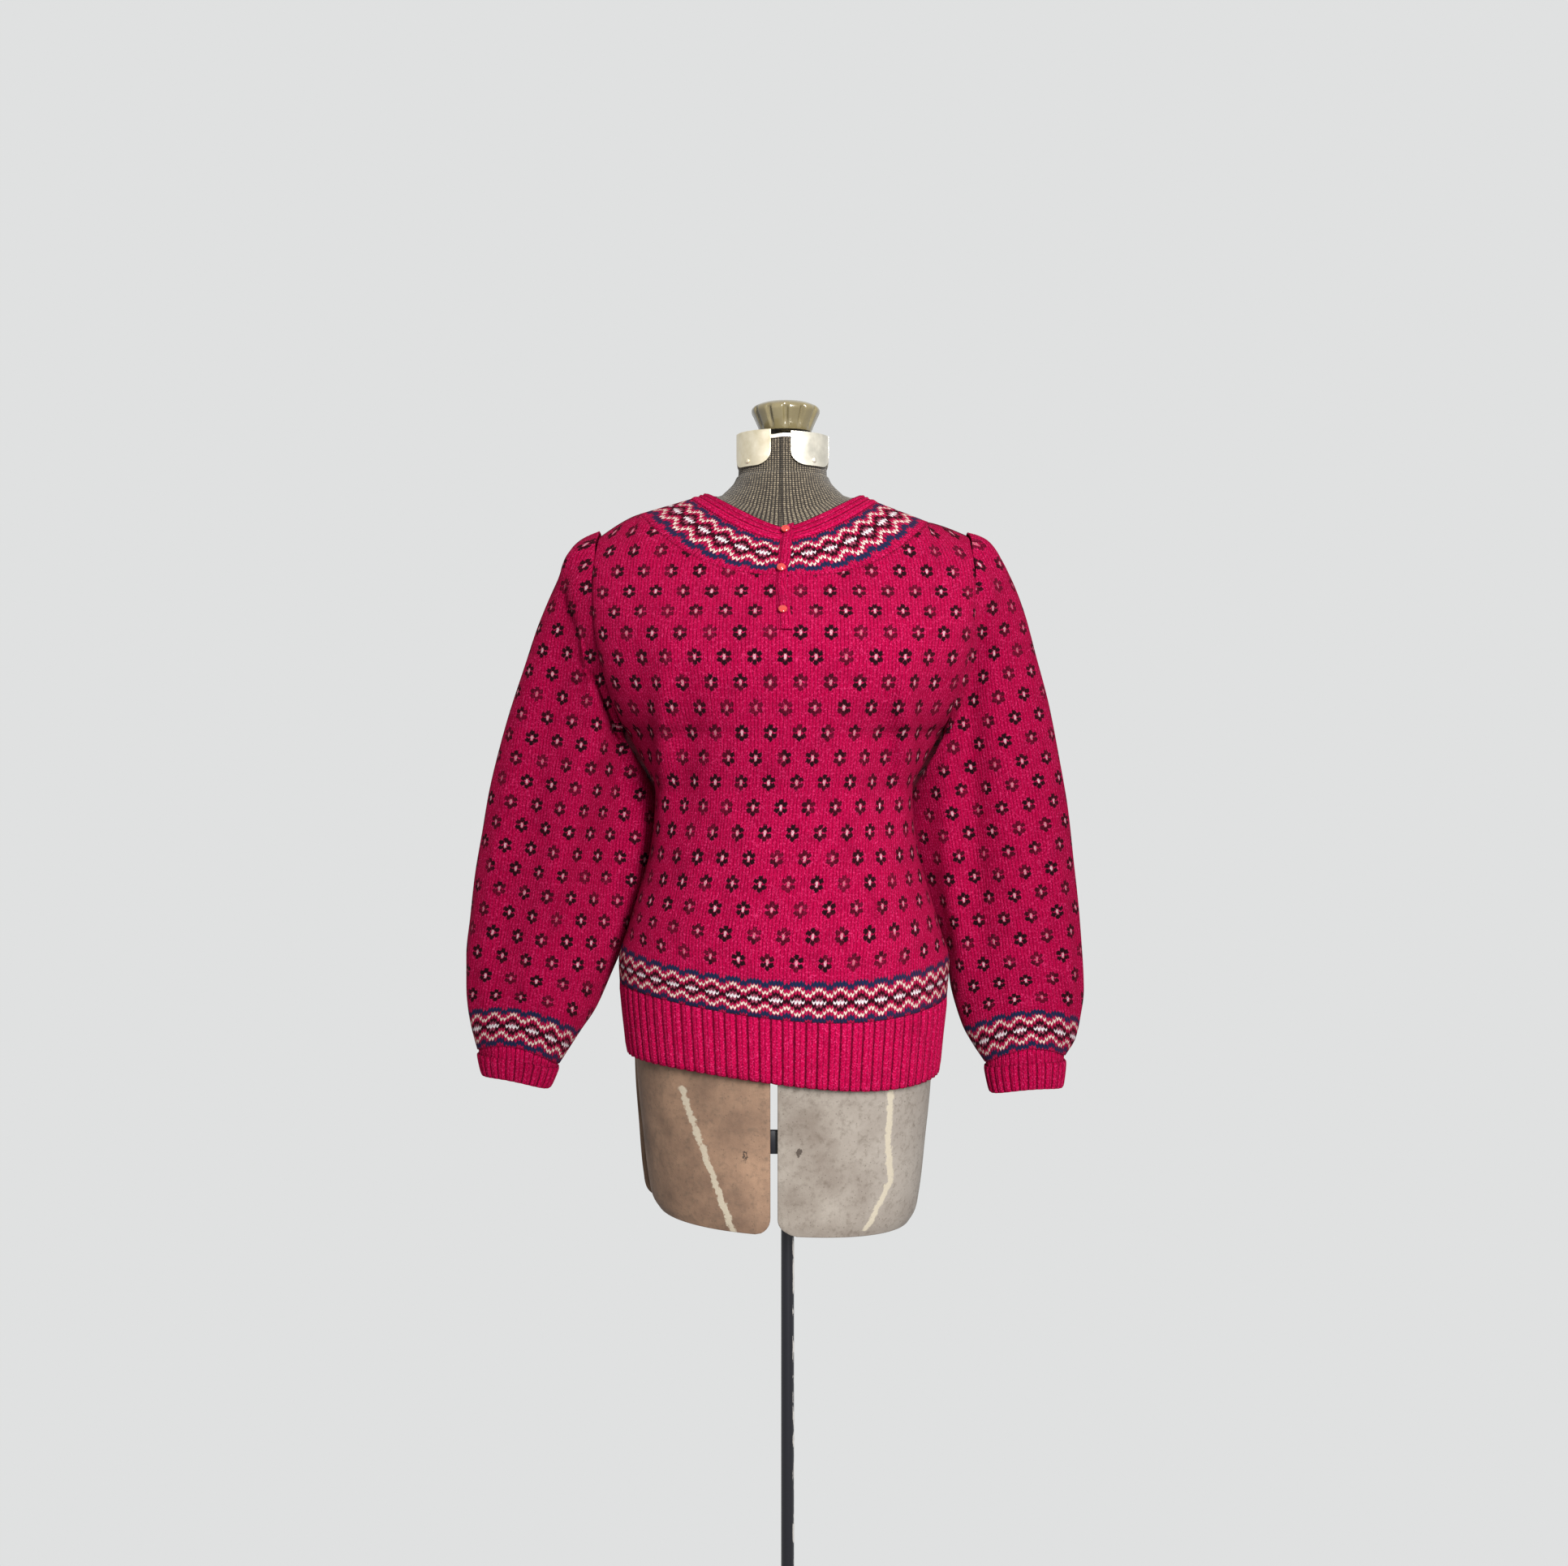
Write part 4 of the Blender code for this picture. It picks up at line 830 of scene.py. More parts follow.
def hem_sheet(panel):
    per_rib, rows = 8, 16
    columns = HEM_RIBS * per_rib
    shares, width = even_shares(panel, (HEM_Z + RIB_TOP_Z) / 2, columns)
    levels = np.linspace(HEM_Z, RIB_TOP_Z, rows + 1)
    line = np.array([[body_point(panel, a, z) for a in shares] for z in levels])
    along = np.gradient(line, axis=1)
    up = np.gradient(line, axis=0)
    normal = np.cross(along, up)
    normal /= np.linalg.norm(normal, axis=2, keepdims=True)
    if panel == "back":
        normal = -normal
    limit = TOUCH

    def place(column, row):
        lift = RIB_HEIGHT * (1.25 * rib_profile(column / per_rib) - 0.75)
        end = min(row, rows - row) / rows
        lift -= 0.8 * max(0.0, 1 - end * 8)
        point = line[row, column] + normal[row, column] * lift
        if panel == "front":
            point[1] = min(point[1], -limit)
        else:
            point[1] = max(point[1], limit)
        return point

    def stitch(column, row):
        return column / per_rib * 2, (levels[row] - HEM_Z) / COURSE

    piece = bent_grid("hem_rib_%s_knit" % panel, columns, rows, place, stitch, RIB_CLOTH - 0.4)
    dress(piece, rib_wool, ["hem_rib_" + panel])
    return piece


hem_front = hem_sheet("front")
hem_back = hem_sheet("back")
print("hem ribs:", 2 * HEM_RIBS)

# %% [markdown]
# A sleeve is a tube through slanting rings. A row of its table gives the outer and inner end of a ring
# as they are seen from the front, how far forward or back each end lies, and how deep the ring is. The
# folds of a sleeve follow its length: gathers at the shoulder, one bright ridge down the inner
# front, and a trough beside it.

# %% Sizes and folds of the sleeves
SLEEVE_LEFT = {
    "row": (0, 1, 2, 3, 4, 5, 6, 7, 8, 9, 10, 11, 12, 13, 14),
    "outer_x": (179, 206, 224, 242, 256, 274, 290, 299, 306, 311, 315, 315, 313, 309, 304),
    "outer_z": (1302, 1286, 1256, 1215, 1174, 1119, 1058, 1008, 968, 925, 888, 857, 832, 812, 794),
    "inner_x": (156, 155, 140, 125, 120, 122, 128, 135, 144, 153, 163, 172, 187, 203, 223),
    "inner_z": (1110, 1092, 1072, 1046, 1020, 998, 976, 955, 934, 912, 889, 868, 834, 810, 779),
    "outer_y": (0, 2, 4, 5, 6, 7, 8, 9, 10, 11, 12, 12, 12, 12, 12),
    "inner_y": (0, 20, 38, 48, 50, 48, 46, 43, 39, 34, 29, 24, 20, 17, 15),
    "depth": (62, 62, 59, 56, 53, 50, 48, 47, 46, 45, 44, 43, 41, 39, 36),
    "lift": (0, 0, 2, 4, 6, 8, 10, 12, 13, 14, 15, 15, 15, 15, 15),
    "bow": (ARMHOLE_BOW, 8, 4, 1, 0, 0, 0, 0, 0, 0, 0, 0, 0, 0, 0),
}
SLEEVE_RIGHT = dict(
    SLEEVE_LEFT,
    outer_x=(179, 198, 219, 236, 250, 262, 273, 281, 287, 292, 295, 296, 293, 288, 279),
    outer_z=(1302, 1293, 1269, 1230, 1180, 1135, 1079, 1033, 980, 935, 890, 855, 829, 805, 788),
    inner_x=(156, 156, 141, 126, 120, 122, 128, 136, 145, 155, 163, 167, 177, 187, 199),
    inner_z=(1110, 1092, 1070, 1045, 1018, 997, 975, 954, 932, 910, 884, 852, 818, 799, 781),
)
SLEEVE_FOLDS = [
    # sleeve, top row, low row, top angle, low angle, height, half width in degrees
    ("left", -0.4, 1.6, 0, 0, 6, 28),
    ("right", -0.4, 1.6, 0, 0, 4, 28),
    ("left", 0, 2.2, 30, 24, 5, 11),
    ("left", 0, 2.0, -32, -26, 5, 11),
    ("left", 0, 1.8, 58, 50, 4, 10),
    ("left", 1.2, 13, 92, 88, 14, 11),
    ("left", 1.2, 11, 112, 138, -12, 15),
    ("left", 1.5, 13.5, 52, 70, -8, 14),
    ("left", 5, 13, 40, 48, 4, 8),
    ("left", 3, 12, -70, -95, 7, 20),
    ("left", 7, 13.5, 66, 72, 3, 8),
    ("left", 8, 14, 30, 24, 2.5, 8),
    ("left", 10, 14, 110, 100, 2.5, 7),
    ("right", 0, 2.2, 24, 20, 5, 11),
    ("right", 0, 2.0, -30, -24, 5, 11),
    ("right", 0, 2.6, 52, 60, 4, 10),
    ("right", 1.2, 10.5, 82, 128, -12, 12),
    ("right", 3.5, 11.5, 106, 150, 9, 12),
    ("right", 3, 12, 62, 96, 4, 14),
    ("right", 3, 12, -62, -90, 7, 20),
    ("right", 6, 13.5, 48, 40, 3, 9),
    ("right", 9, 14, 20, 16, 2.5, 8),
    ("right", 10, 14, 100, 104, 2.5, 7),
]


def sleeve_surface(side):
    table = SLEEVE_LEFT if side == "left" else SLEEVE_RIGHT
    sign = -1 if side == "left" else 1
    at = {name: curve_through(table, "row", name) for name in table if name != "row"}

    def point(row, angle):
        outer = np.array((sign * at["outer_x"](row), at["outer_y"](row), at["outer_z"](row)))
        inner = np.array((sign * at["inner_x"](row), at["inner_y"](row), at["inner_z"](row)))
        middle = (outer + inner) / 2
        reach = np.array((0, -at["depth"](row) * math.sin(angle), 0))
        arch = np.array((0, 0, at["lift"](row) * max(0.0, math.sin(angle)) ** 2))
        bow = np.array((sign * at["bow"](row) * math.sin(angle) ** 2, 0, 0))
        return middle + (outer - middle) * math.cos(angle) + reach + arch + bow

    return point


def sleeve_fold(side, row, degrees):
    total = 0.0
    for where, top, low, top_angle, low_angle, height, half_width in SLEEVE_FOLDS:
        along = (row - top) / (low - top)
        if where == side and 0 <= along <= 1:
            middle = top_angle + (low_angle - top_angle) * along
            off = (degrees - middle + 180) % 360 - 180
            total += height * math.sin(math.pi * (0.12 + 0.88 * along)) * bell(off, half_width)
    return total


# %% [markdown]
# The stitches of a sleeve are counted upwards from the wrist, and round from the middle of the front.
# Near the wrist they are counted along each column by itself, which keeps the band parallel to the
# slanting wrist. Higher up they follow one slanting line, the way the arm hangs, so that the flowers
# stand in even rows across it. The count round the sleeve breaks at its inner side, where the seam is.

# %% Sleeves
SLEEVE_COURSE, SLEEVE_WALE, SLEEVE_LEAN = 2.68, 3.35, math.radians(7.5)


def sleeve_sheet(side):
    surface = sleeve_surface(side)
    sign = -1 if side == "left" else 1
    upward = np.array((-sign * math.sin(SLEEVE_LEAN), 0, math.cos(SLEEVE_LEAN)))
    sideways = np.array((math.cos(SLEEVE_LEAN), 0, sign * math.sin(SLEEVE_LEAN)))
    columns, rows = 108, 150
    steps = np.linspace(14, 0, rows + 1)
    angles = np.linspace(0, 2 * math.pi, columns + 1)
    grid = np.array([[surface(row, a) for a in angles] for row in steps])
    grid[-1, :, 0] += sign * 4 * TOUCH
    ring = np.concatenate([grid[:, -2:-1], grid, grid[:, 1:2]], axis=1)
    around = ring[:, 2:] - ring[:, :-2]
    normal = np.cross(around, np.gradient(grid, axis=0))
    normal /= np.linalg.norm(normal, axis=2, keepdims=True)
    if np.sum(normal * (grid - grid.mean(axis=1, keepdims=True))) < 0:
        normal = -normal
    fold = np.array([[sleeve_fold(side, row, math.degrees(a)) for a in angles] for row in steps])
    grid = grid + normal * fold[..., None]
    front_column = columns // 4
    up = np.linalg.norm(np.diff(grid, axis=0), axis=2).cumsum(axis=0)
    up = np.concatenate([np.zeros((1, columns + 1)), up])
    mean = up.mean(axis=1, keepdims=True)
    high = np.clip((mean - 30) / 60, 0, 1)
    axial = (grid - grid[0].mean(axis=0)) @ upward
    courses = courses_in(up + (axial - up) * high * high * (3 - 2 * high), SLEEVE_COURSE) - 0.4
    round_steps = np.diff(grid, axis=1)
    round_steps = round_steps - (round_steps @ upward)[..., None] * upward
    run = np.linalg.norm(round_steps, axis=2).cumsum(axis=1)
    run = np.concatenate([np.zeros((rows + 1, 1)), run], axis=1)
    run = np.where(np.arange(columns + 1) > columns // 2, run - run[:, -1:], run)
    offset = (grid[:, front_column] @ sideways)[:, None]
    wales = ((run - run[:, front_column : front_column + 1]) * -sign + offset) / SLEEVE_WALE + FIRST_WALE

    def stitch(column, row):
        return wales[row, column], courses[row, column]

    name = "sleeve_" + side
    piece = bent_grid(name + "_knit", columns, rows, lambda c, r: grid[r, c], stitch, CLOTH, True)
    dress(piece, body_wool, [name])
    print(name, "is", round(courses[-1, 0]), "courses long")
    return piece


sleeves = {side: sleeve_sheet(side) for side in ("left", "right")}

# %% [markdown]
# A cuff goes down from the sleeve, folds outwards and comes up again. One tube makes all of it: its
# rows run down the inner leg, round the fold and up the turned edge, and the wall is solidified towards
# the slot between the two legs.

# %% Cuffs
CUFF_ENDS = {
    "left": {"outer": (299, 769), "inner": (233, 755), "depth": 30},
    "right": {"outer": (276, 757), "inner": (205, 751), "depth": 31},
}
CUFF_ARCH = 5.5


def cuff_sheet(side):
    sign = -1 if side == "left" else 1
    table = SLEEVE_LEFT if side == "left" else SLEEVE_RIGHT
    ends = CUFF_ENDS[side]
    low_outer = np.array((sign * ends["outer"][0], table["outer_y"][-1], ends["outer"][1]))
    low_inner = np.array((sign * ends["inner"][0], table["inner_y"][-1], ends["inner"][1]))
    top_outer = np.array((sign * table["outer_x"][-1], table["outer_y"][-1], table["outer_z"][-1]))
    top_inner = np.array((sign * table["inner_x"][-1], table["inner_y"][-1], table["inner_z"][-1]))
    per_rib = 8
    columns = CUFF_RIBS * per_rib
    # share up the cuff, inset from its widest line, height of the ribs
    path = [(1.08, 3.3, 0.2), (0.7, 3.3, 0.4), (0.35, 3.3, 0.3), (0.06, 3.2, 0.2), (-0.01, 2.4, 0.3)]
    path += [(-0.03, 1.4, 0.6), (0.02, 0.7, 1.0), (0.12, 0.3, 1.0), (0.3, 0.1, 1.0), (0.5, 0.0, 1.0)]
    path += [(0.7, 0.1, 1.0), (0.8, 0.4, 1.0), (0.85, 0.9, 0.8), (0.86, 1.5, 0.5)]

    def place(column, row):
        share, inset, rib = path[row]
        angle = 2 * math.pi * column / columns
        outer = low_outer + (top_outer - low_outer) * share
        inner = low_inner + (top_inner - low_inner) * share
        middle = (outer + inner) / 2
        along = (outer - inner) / np.linalg.norm(outer - inner)
        grow = 2.1 * rib * (rib_profile(column / per_rib) - 0.5) - inset + 0.9
        long_half = np.linalg.norm(outer - inner) / 2 + grow
        deep = ends["depth"] + (table["depth"][-1] - ends["depth"]) * share + grow
        lift = CUFF_ARCH + (table["lift"][-1] - CUFF_ARCH) * max(0.0, 2 * share - 1) * (row < 3)
        arch = lift * max(0.0, math.sin(angle)) ** 2
        reach = np.array((0, -deep * math.sin(angle), arch))
        return middle + along * long_half * math.cos(angle) + reach

    def stitch(column, row):
        return column / per_rib * 2, row * 1.1

    name = "cuff_" + side
    piece = bent_grid(name + "_knit", columns, len(path) - 1, place, stitch, 0, True)
    piece.modifiers.new("round", "SUBSURF").levels = 1
    piece.modifiers["round"].render_levels = 1
    wall = piece.modifiers.new("cloth", "SOLIDIFY")
    wall.thickness = 0.9 * MM
    wall.offset = -1
    dress(piece, rib_wool, [name])
    return piece


cuffs = {side: cuff_sheet(side) for side in ("left", "right")}

# %% [markdown]
# The buttons are small polished domes of a translucent red plastic. Half a turned profile gives the
# dome with its rim: a few points, spun about the middle.

# %% A spun shape
def spun(name, profile, turn, centre, segments=48, angle=35):
    """Spins a profile of (radius, height) points, in millimetres, about its own axis."""
    shape = bmesh.new()
    points = [shape.verts.new((r * MM, 0, z * MM)) for r, z in profile]
    edges = [shape.edges.new(pair) for pair in zip(points, points[1:])]
    bmesh.ops.spin(
        shape,
        geom=points + edges,
        axis=(0, 0, 1),
        cent=(0, 0, 0),
        angle=2 * math.pi,
        steps=segments,
        use_merge=True,
        use_duplicate=False,
    )
    bmesh.ops.remove_doubles(shape, verts=shape.verts, dist=0.01 * MM)
    bmesh.ops.recalc_face_normals(shape, faces=shape.faces[:])
    bmesh.ops.transform(shape, matrix=Matrix.Translation(Vector(centre) * MM) @ turn, verts=shape.verts)
    return link_shape(name, shape, angle)


def polished_plastic():
    """Cast polyester: clear red over a lighter core, with a wet-looking polish."""
    made, tree, shader = new_material("polished_coral_plastic")
    place = add(tree, "ShaderNodeTexCoord")
    clouds = add(
        tree,
        "ShaderNodeTexNoise",
        {"Vector": place.outputs["Object"], "Scale": 260.0, "Detail": 2.0},
    )
    tree.links.new(mixed(tree, clouds, "#7A1418", "#A02C22"), shader.inputs["Base Color"])
    shader.inputs["Roughness"].default_value = 0.12
    shader.inputs["Subsurface Weight"].default_value = 0.15
    shader.inputs["Subsurface Scale"].default_value = 0.003
    shader.inputs["Coat Weight"].default_value = 1.0
    shader.inputs["Coat Roughness"].default_value = 0.04
    return made


button_plastic = polished_plastic()
BUTTON_RADIUS = 4.3
BUTTON_PROFILE = [
    (0, -0.1), (3.4, -0.1), (4.15, 0.35), (4.3, 0.9), (4.1, 1.45), (3.5, 1.95), (2.9, 2.1), (2.5, 2.0),
    (1.7, 2.3), (0.8, 2.6), (0, 2.68),
]
for name, drop, x in (("button_1", 0.5, 1.6), ("button_2", 1.87, -2.6), ("button_3", 2.68, -1.2)):
    normal = front_normal(drop, x)
    seat = front_point(drop, x) + normal * (PLACKET_LIFT + PLACKET_CLOTH + 0.5)
    turn = Vector((0, 0, 1)).rotation_difference(Vector(normal)).to_matrix().to_4x4()
    piece = spun(name + "_dome", BUTTON_PROFILE, turn, seat, 28, 60)
    dress(piece, button_plastic, [name])
print("three buttons")

# %% [markdown]
# The form under the sweater is covered in a dark rib jersey. Its yarn is a melange of light and dark
# fibres, so each small stitch shows a pale dash on a near-black ground. A dark seam runs down the middle
# of the front. Only the neck shows, but the
# whole torso is made: it is what carries the sweater.

# %% Jersey torso
NECK_X = -1.4
NECK = {
    "row": (0, 1, 2, 3, 4, 5),
    "half_width": (41, 43, 43.5, 45.5, 49.5, 60),
    "front": (40, 42, 43, 46, 48, 47.5),
    "back": (40, 42, 43, 46, 49, 54),
    "side_z": (1394, 1392, 1362, 1358, 1351, 1341),
    "front_z": (1394, 1392, 1362, 1358, 1342, 1322),
    "back_z": (1394, 1392, 1362, 1359, 1352, 1347),
}
SHOULDER_EASE = {"ring": (0.4, 0.8, 1.4, 1.9), "ease": (2.6, 1.6, 0.9, 1.8)}
TORSO_EASE = {
    "level": (985, 1038, 1080, 1110, 1135, 1160, 1185, 1210, 1235, 1260, 1276),
    "ease": (8, 6, 8, 12, 12, 12, 11, 9, 7, 6, 5.5),
}


def round_body_point(angle, level):
    if angle < math.pi:
        return body_point("back", 1 - 2 * angle / math.pi, level)
    return body_point("front", 2 * (angle - math.pi) / math.pi - 1, level)


def jersey_fabric():
    made, tree, shader = new_material("melange_rib_jersey")
    uv = add(tree, "ShaderNodeUVMap", uv_map="stitches")
    split = add(tree, "ShaderNodeSeparateXYZ", {0: uv})
    legs = math_chain(tree, split.outputs[0], ("MULTIPLY", math.pi), ("SINE",), ("ABSOLUTE",), ("POWER", 0.7))
    loops = math_chain(tree, split.outputs[1], ("MULTIPLY", math.pi), ("SINE",), ("ABSOLUTE",), ("POWER", 0.6))
    height = math_chain(tree, legs, ("MULTIPLY", loops.outputs[0]))
    place = add(tree, "ShaderNodeTexCoord").outputs["Object"]
    fibres = add(
        tree, "ShaderNodeTexNoise", {"Vector": place, "Scale": 520.0, "Detail": 2.0, "Roughness": 0.7}
    )
    dash = math_chain(tree, height, ("SUBTRACT", 0.5), ("MULTIPLY", 3.0), ("MAXIMUM", 0.0), ("MINIMUM", 1.0))
    worn = math_chain(tree, fibres, ("SUBTRACT", 0.3), ("MULTIPLY", 2.2), ("MAXIMUM", 0.15), ("MINIMUM", 1.0))
    pale = math_chain(tree, dash, ("MULTIPLY", worn.outputs[0]))
    # Painted shade: the ground is darker in the grooves between stitches and lighter on their tops.
    colour = mixed(tree, math_chain(tree, height, ("MULTIPLY", 0.8)), "#120F0D", "#37312A")
    colour = mixed(tree, pale, colour, "#847864")
    split = add(tree, "ShaderNodeSeparateXYZ", {0: place})
    seam = math_chain(tree, split.outputs[0], ("COMPARE", -0.0029, 0.0007))
    ahead = math_chain(tree, split.outputs[1], ("LESS_THAN", 0.0))
    seam = math_chain(tree, seam, ("MULTIPLY", ahead.outputs[0]), ("MULTIPLY", 0.85))
    colour = mixed(tree, seam, colour, "#100D0A")
    relief = math_chain(tree, fibres, ("MULTIPLY", 0.25), ("ADD", height.outputs[0]))
    bump = add(tree, "ShaderNodeBump", {"Height": relief, "Strength": 0.8, "Distance": 0.8 * MM})
    tree.links.new(colour, shader.inputs["Base Color"])
    tree.links.new(bump.outputs[0], shader.inputs["Normal"])
    shader.inputs["Roughness"].default_value = 0.9
    shader.inputs["Specular IOR Level"].default_value = 0.15
    shader.inputs["Sheen Weight"].default_value = 0.1
    return made


def torso_rings():
    angles = np.linspace(0, 2 * math.pi, 97)
    rings = []
    for row in np.concatenate([np.linspace(0, 3, 22), np.linspace(3.1, 5, 14)]):
        at = {name: curve_through(NECK, "row", name)(row) for name in NECK if name != "row"}
        ring = []
        for angle in angles:
            side = "back" if math.sin(angle) > 0 else "front"
            z = at[side + "_z"] + (at["side_z"] - at[side + "_z"]) * math.cos(angle) ** 2
            ring.append((NECK_X + at["half_width"] * math.cos(angle), at[side] * math.sin(angle), z))
        rings.append(ring)
    lift = curve_through(SHOULDER_EASE, "ring", "ease")
    ease = []
    under = []
    for ring in np.linspace(0.4, 1.9, 10):
        under.append([neck_ring(ring, angle) for angle in angles])
        ease.append(lift(ring))
    lift = curve_through(TORSO_EASE, "level", "ease")
    for level in np.linspace(1276, 985, 34):
        under.append([round_body_point(min(a, 2 * math.pi - 1e-6), level) for a in angles])
        ease.append(lift(level))
    under = np.array(under)
    wide = np.concatenate([under[:, -2:-1], under, under[:, 1:2]], axis=1)
    normal = np.cross(wide[:, 2:] - wide[:, :-2], np.gradient(under, axis=0))
    normal /= np.maximum(np.linalg.norm(normal, axis=2, keepdims=True), 1e-9)
    if np.sum(normal * (under - under.mean(axis=1, keepdims=True))) < 0:
        normal = -normal
    under = under - normal * (np.array(ease)[:, None, None] + RIB_CLOTH)
    return np.array([*rings, *under])


def torso_form():
    rings = torso_rings()
    rows, columns = rings.shape[0] - 1, rings.shape[1] - 1
    slope = np.linalg.norm(np.diff(rings[:, columns * 3 // 4], axis=0), axis=1)
    down = np.concatenate([[0], np.cumsum(slope)])

    def stitch(column, row):
        return column / columns * 100, -down[row] / 2.0

    piece = bent_grid("jersey_torso", columns, rows, lambda c, r: rings[r, c], stitch, 0, True)
    closed = bmesh.new()
    closed.from_mesh(piece.data)
    bmesh.ops.holes_fill(closed, edges=[e for e in closed.edges if e.is_boundary], sides=0)
    closed.to_mesh(piece.data)
    closed.free()
    dress(piece, jersey_fabric(), ["form_torso"])
    return piece


torso = torso_form()
print("torso:", len(torso.data.vertices), "points")

# %% [markdown]
# Below the waist the form is bare: four papier-mache shells, pressed in a mould from layers of
# paper and left unpainted. The left shells are browner than the right ones; the right ones are also
# painted lighter, and painted light grows towards the far right side. Their faces are mottled by damp,
# pale ragged strips show where the cover's glued edge was torn away, and there are two small worn
# holes, whose dark inside is painted shade. The shells are bent grids like the cloth, only thicker;
# strips and holes are read from the distance of each point to a few places, which is kept as an attribute.

# %% Papier-mache
SHELL, SHELL_CORNER, SPREAD_TOP_Z = 4.5, 16, 885
SLIT_LEFT_X, SLIT_RIGHT_X = -12.8, -6.0


def papier_mache():
    made, tree, shader = new_material("aged_papier_mache")
    place = add(tree, "ShaderNodeTexCoord").outputs["Object"]
    broad = add(tree, "ShaderNodeTexNoise", {"Vector": place, "Scale": 22.0, "Detail": 5.0, "Roughness": 0.6})
    fine = add(tree, "ShaderNodeTexNoise", {"Vector": place, "Scale": 160.0, "Detail": 4.0, "Roughness": 0.7})
    specks = add(tree, "ShaderNodeTexVoronoi", {"Vector": place, "Scale": 210.0})
    mottle = math_chain(tree, broad, ("SUBTRACT", 0.35), ("MULTIPLY", 2.6), ("MAXIMUM", 0.0), ("MINIMUM", 1.0))
    split = add(tree, "ShaderNodeSeparateXYZ", {0: place})
    # The right shells are greyer and also painted lighter: partly their own tone, partly painted light from the
    # right.
    right = math_chain(tree, split.outputs[0], ("GREATER_THAN", (SLIT_LEFT_X + SLIT_RIGHT_X) / 2 * MM))
    colour = mixed(tree, right, mixed(tree, mottle, "#4F3C2F", "#6F5745"), mixed(tree, mottle, "#574E46", "#6F6860"))
    # Painted light: the colour turns paler towards the far right side.
    far = math_chain(
        tree, split.outputs[0], ("SUBTRACT", 0.03), ("MULTIPLY", 5.0), ("MAXIMUM", 0.0), ("MINIMUM", 0.5)
    )
    colour = mixed(tree, far, colour, "#77716B")
    grain = math_chain(tree, fine, ("SUBTRACT", 0.5), ("MULTIPLY", 2.2), ("MAXIMUM", 0.0), ("MINIMUM", 0.6))
    colour = mixed(tree, grain, colour, "#3A3026")
    spot = math_chain(tree, specks, ("LESS_THAN", 0.14), ("MULTIPLY", 0.4))
    colour = mixed(tree, spot, colour, "#32281F")
    strip = add(tree, "ShaderNodeAttribute", attribute_name="torn_strip")
    ragged = math_chain(
        tree, fine, ("SUBTRACT", 0.5), ("MULTIPLY", 1.5), ("ADD", strip.outputs["Fac"]), ("SUBTRACT", 0.5),
        ("MULTIPLY", 4.0), ("MAXIMUM", 0.0), ("MINIMUM", 0.8),
    )
    colour = mixed(tree, ragged, colour, "#8B8373")
    # The two worn holes are real wear; their dark inside is painted shade.
    hole = add(tree, "ShaderNodeAttribute", attribute_name="worn_hole_painted_shade")
    painted_hole_shade = math_chain(
        tree, fine, ("SUBTRACT", 0.5), ("MULTIPLY", 1.2), ("ADD", hole.outputs["Fac"]), ("GREATER_THAN", 0.5)
    )
    colour = mixed(tree, math_chain(tree, painted_hole_shade, ("MULTIPLY", 0.85)), colour, "#241A12")
    relief = math_chain(tree, fine, ("MULTIPLY", 0.8), ("ADD", broad.outputs[0]))
    bump = add(tree, "ShaderNodeBump", {"Height": relief, "Strength": 0.5, "Distance": 1.2 * MM})
    tree.links.new(colour, shader.inputs["Base Color"])
    tree.links.new(bump.outputs[0], shader.inputs["Normal"])
    shader.inputs["Roughness"].default_value = 0.78
    shader.inputs["Specular IOR Level"].default_value = 0.3
    return made


HIPS = {
    "z": (640, 649, 666, 720, 768, 844, 885, 950, 984.7),
    "half_width": (122.5, 128.5, 132.5, 139, 144, 147, 146, 130, 117),
    "front": (97, 99, 100, 102, 104, 106, 106, 102, 97),
    "back": (93, 95, 96, 97, 98, 99, 98, 92, 84),
}
HIP_SQUARENESS, HIP_TILT = 2.3, 7
hip = {name: curve_through(HIPS, "z", name) for name in HIPS if name != "z"}
paper = papier_mache()


def slit_angle(x):
    return lambda z: -math.acos(signed_power(x / hip["half_width"](z), HIP_SQUARENESS / 2))


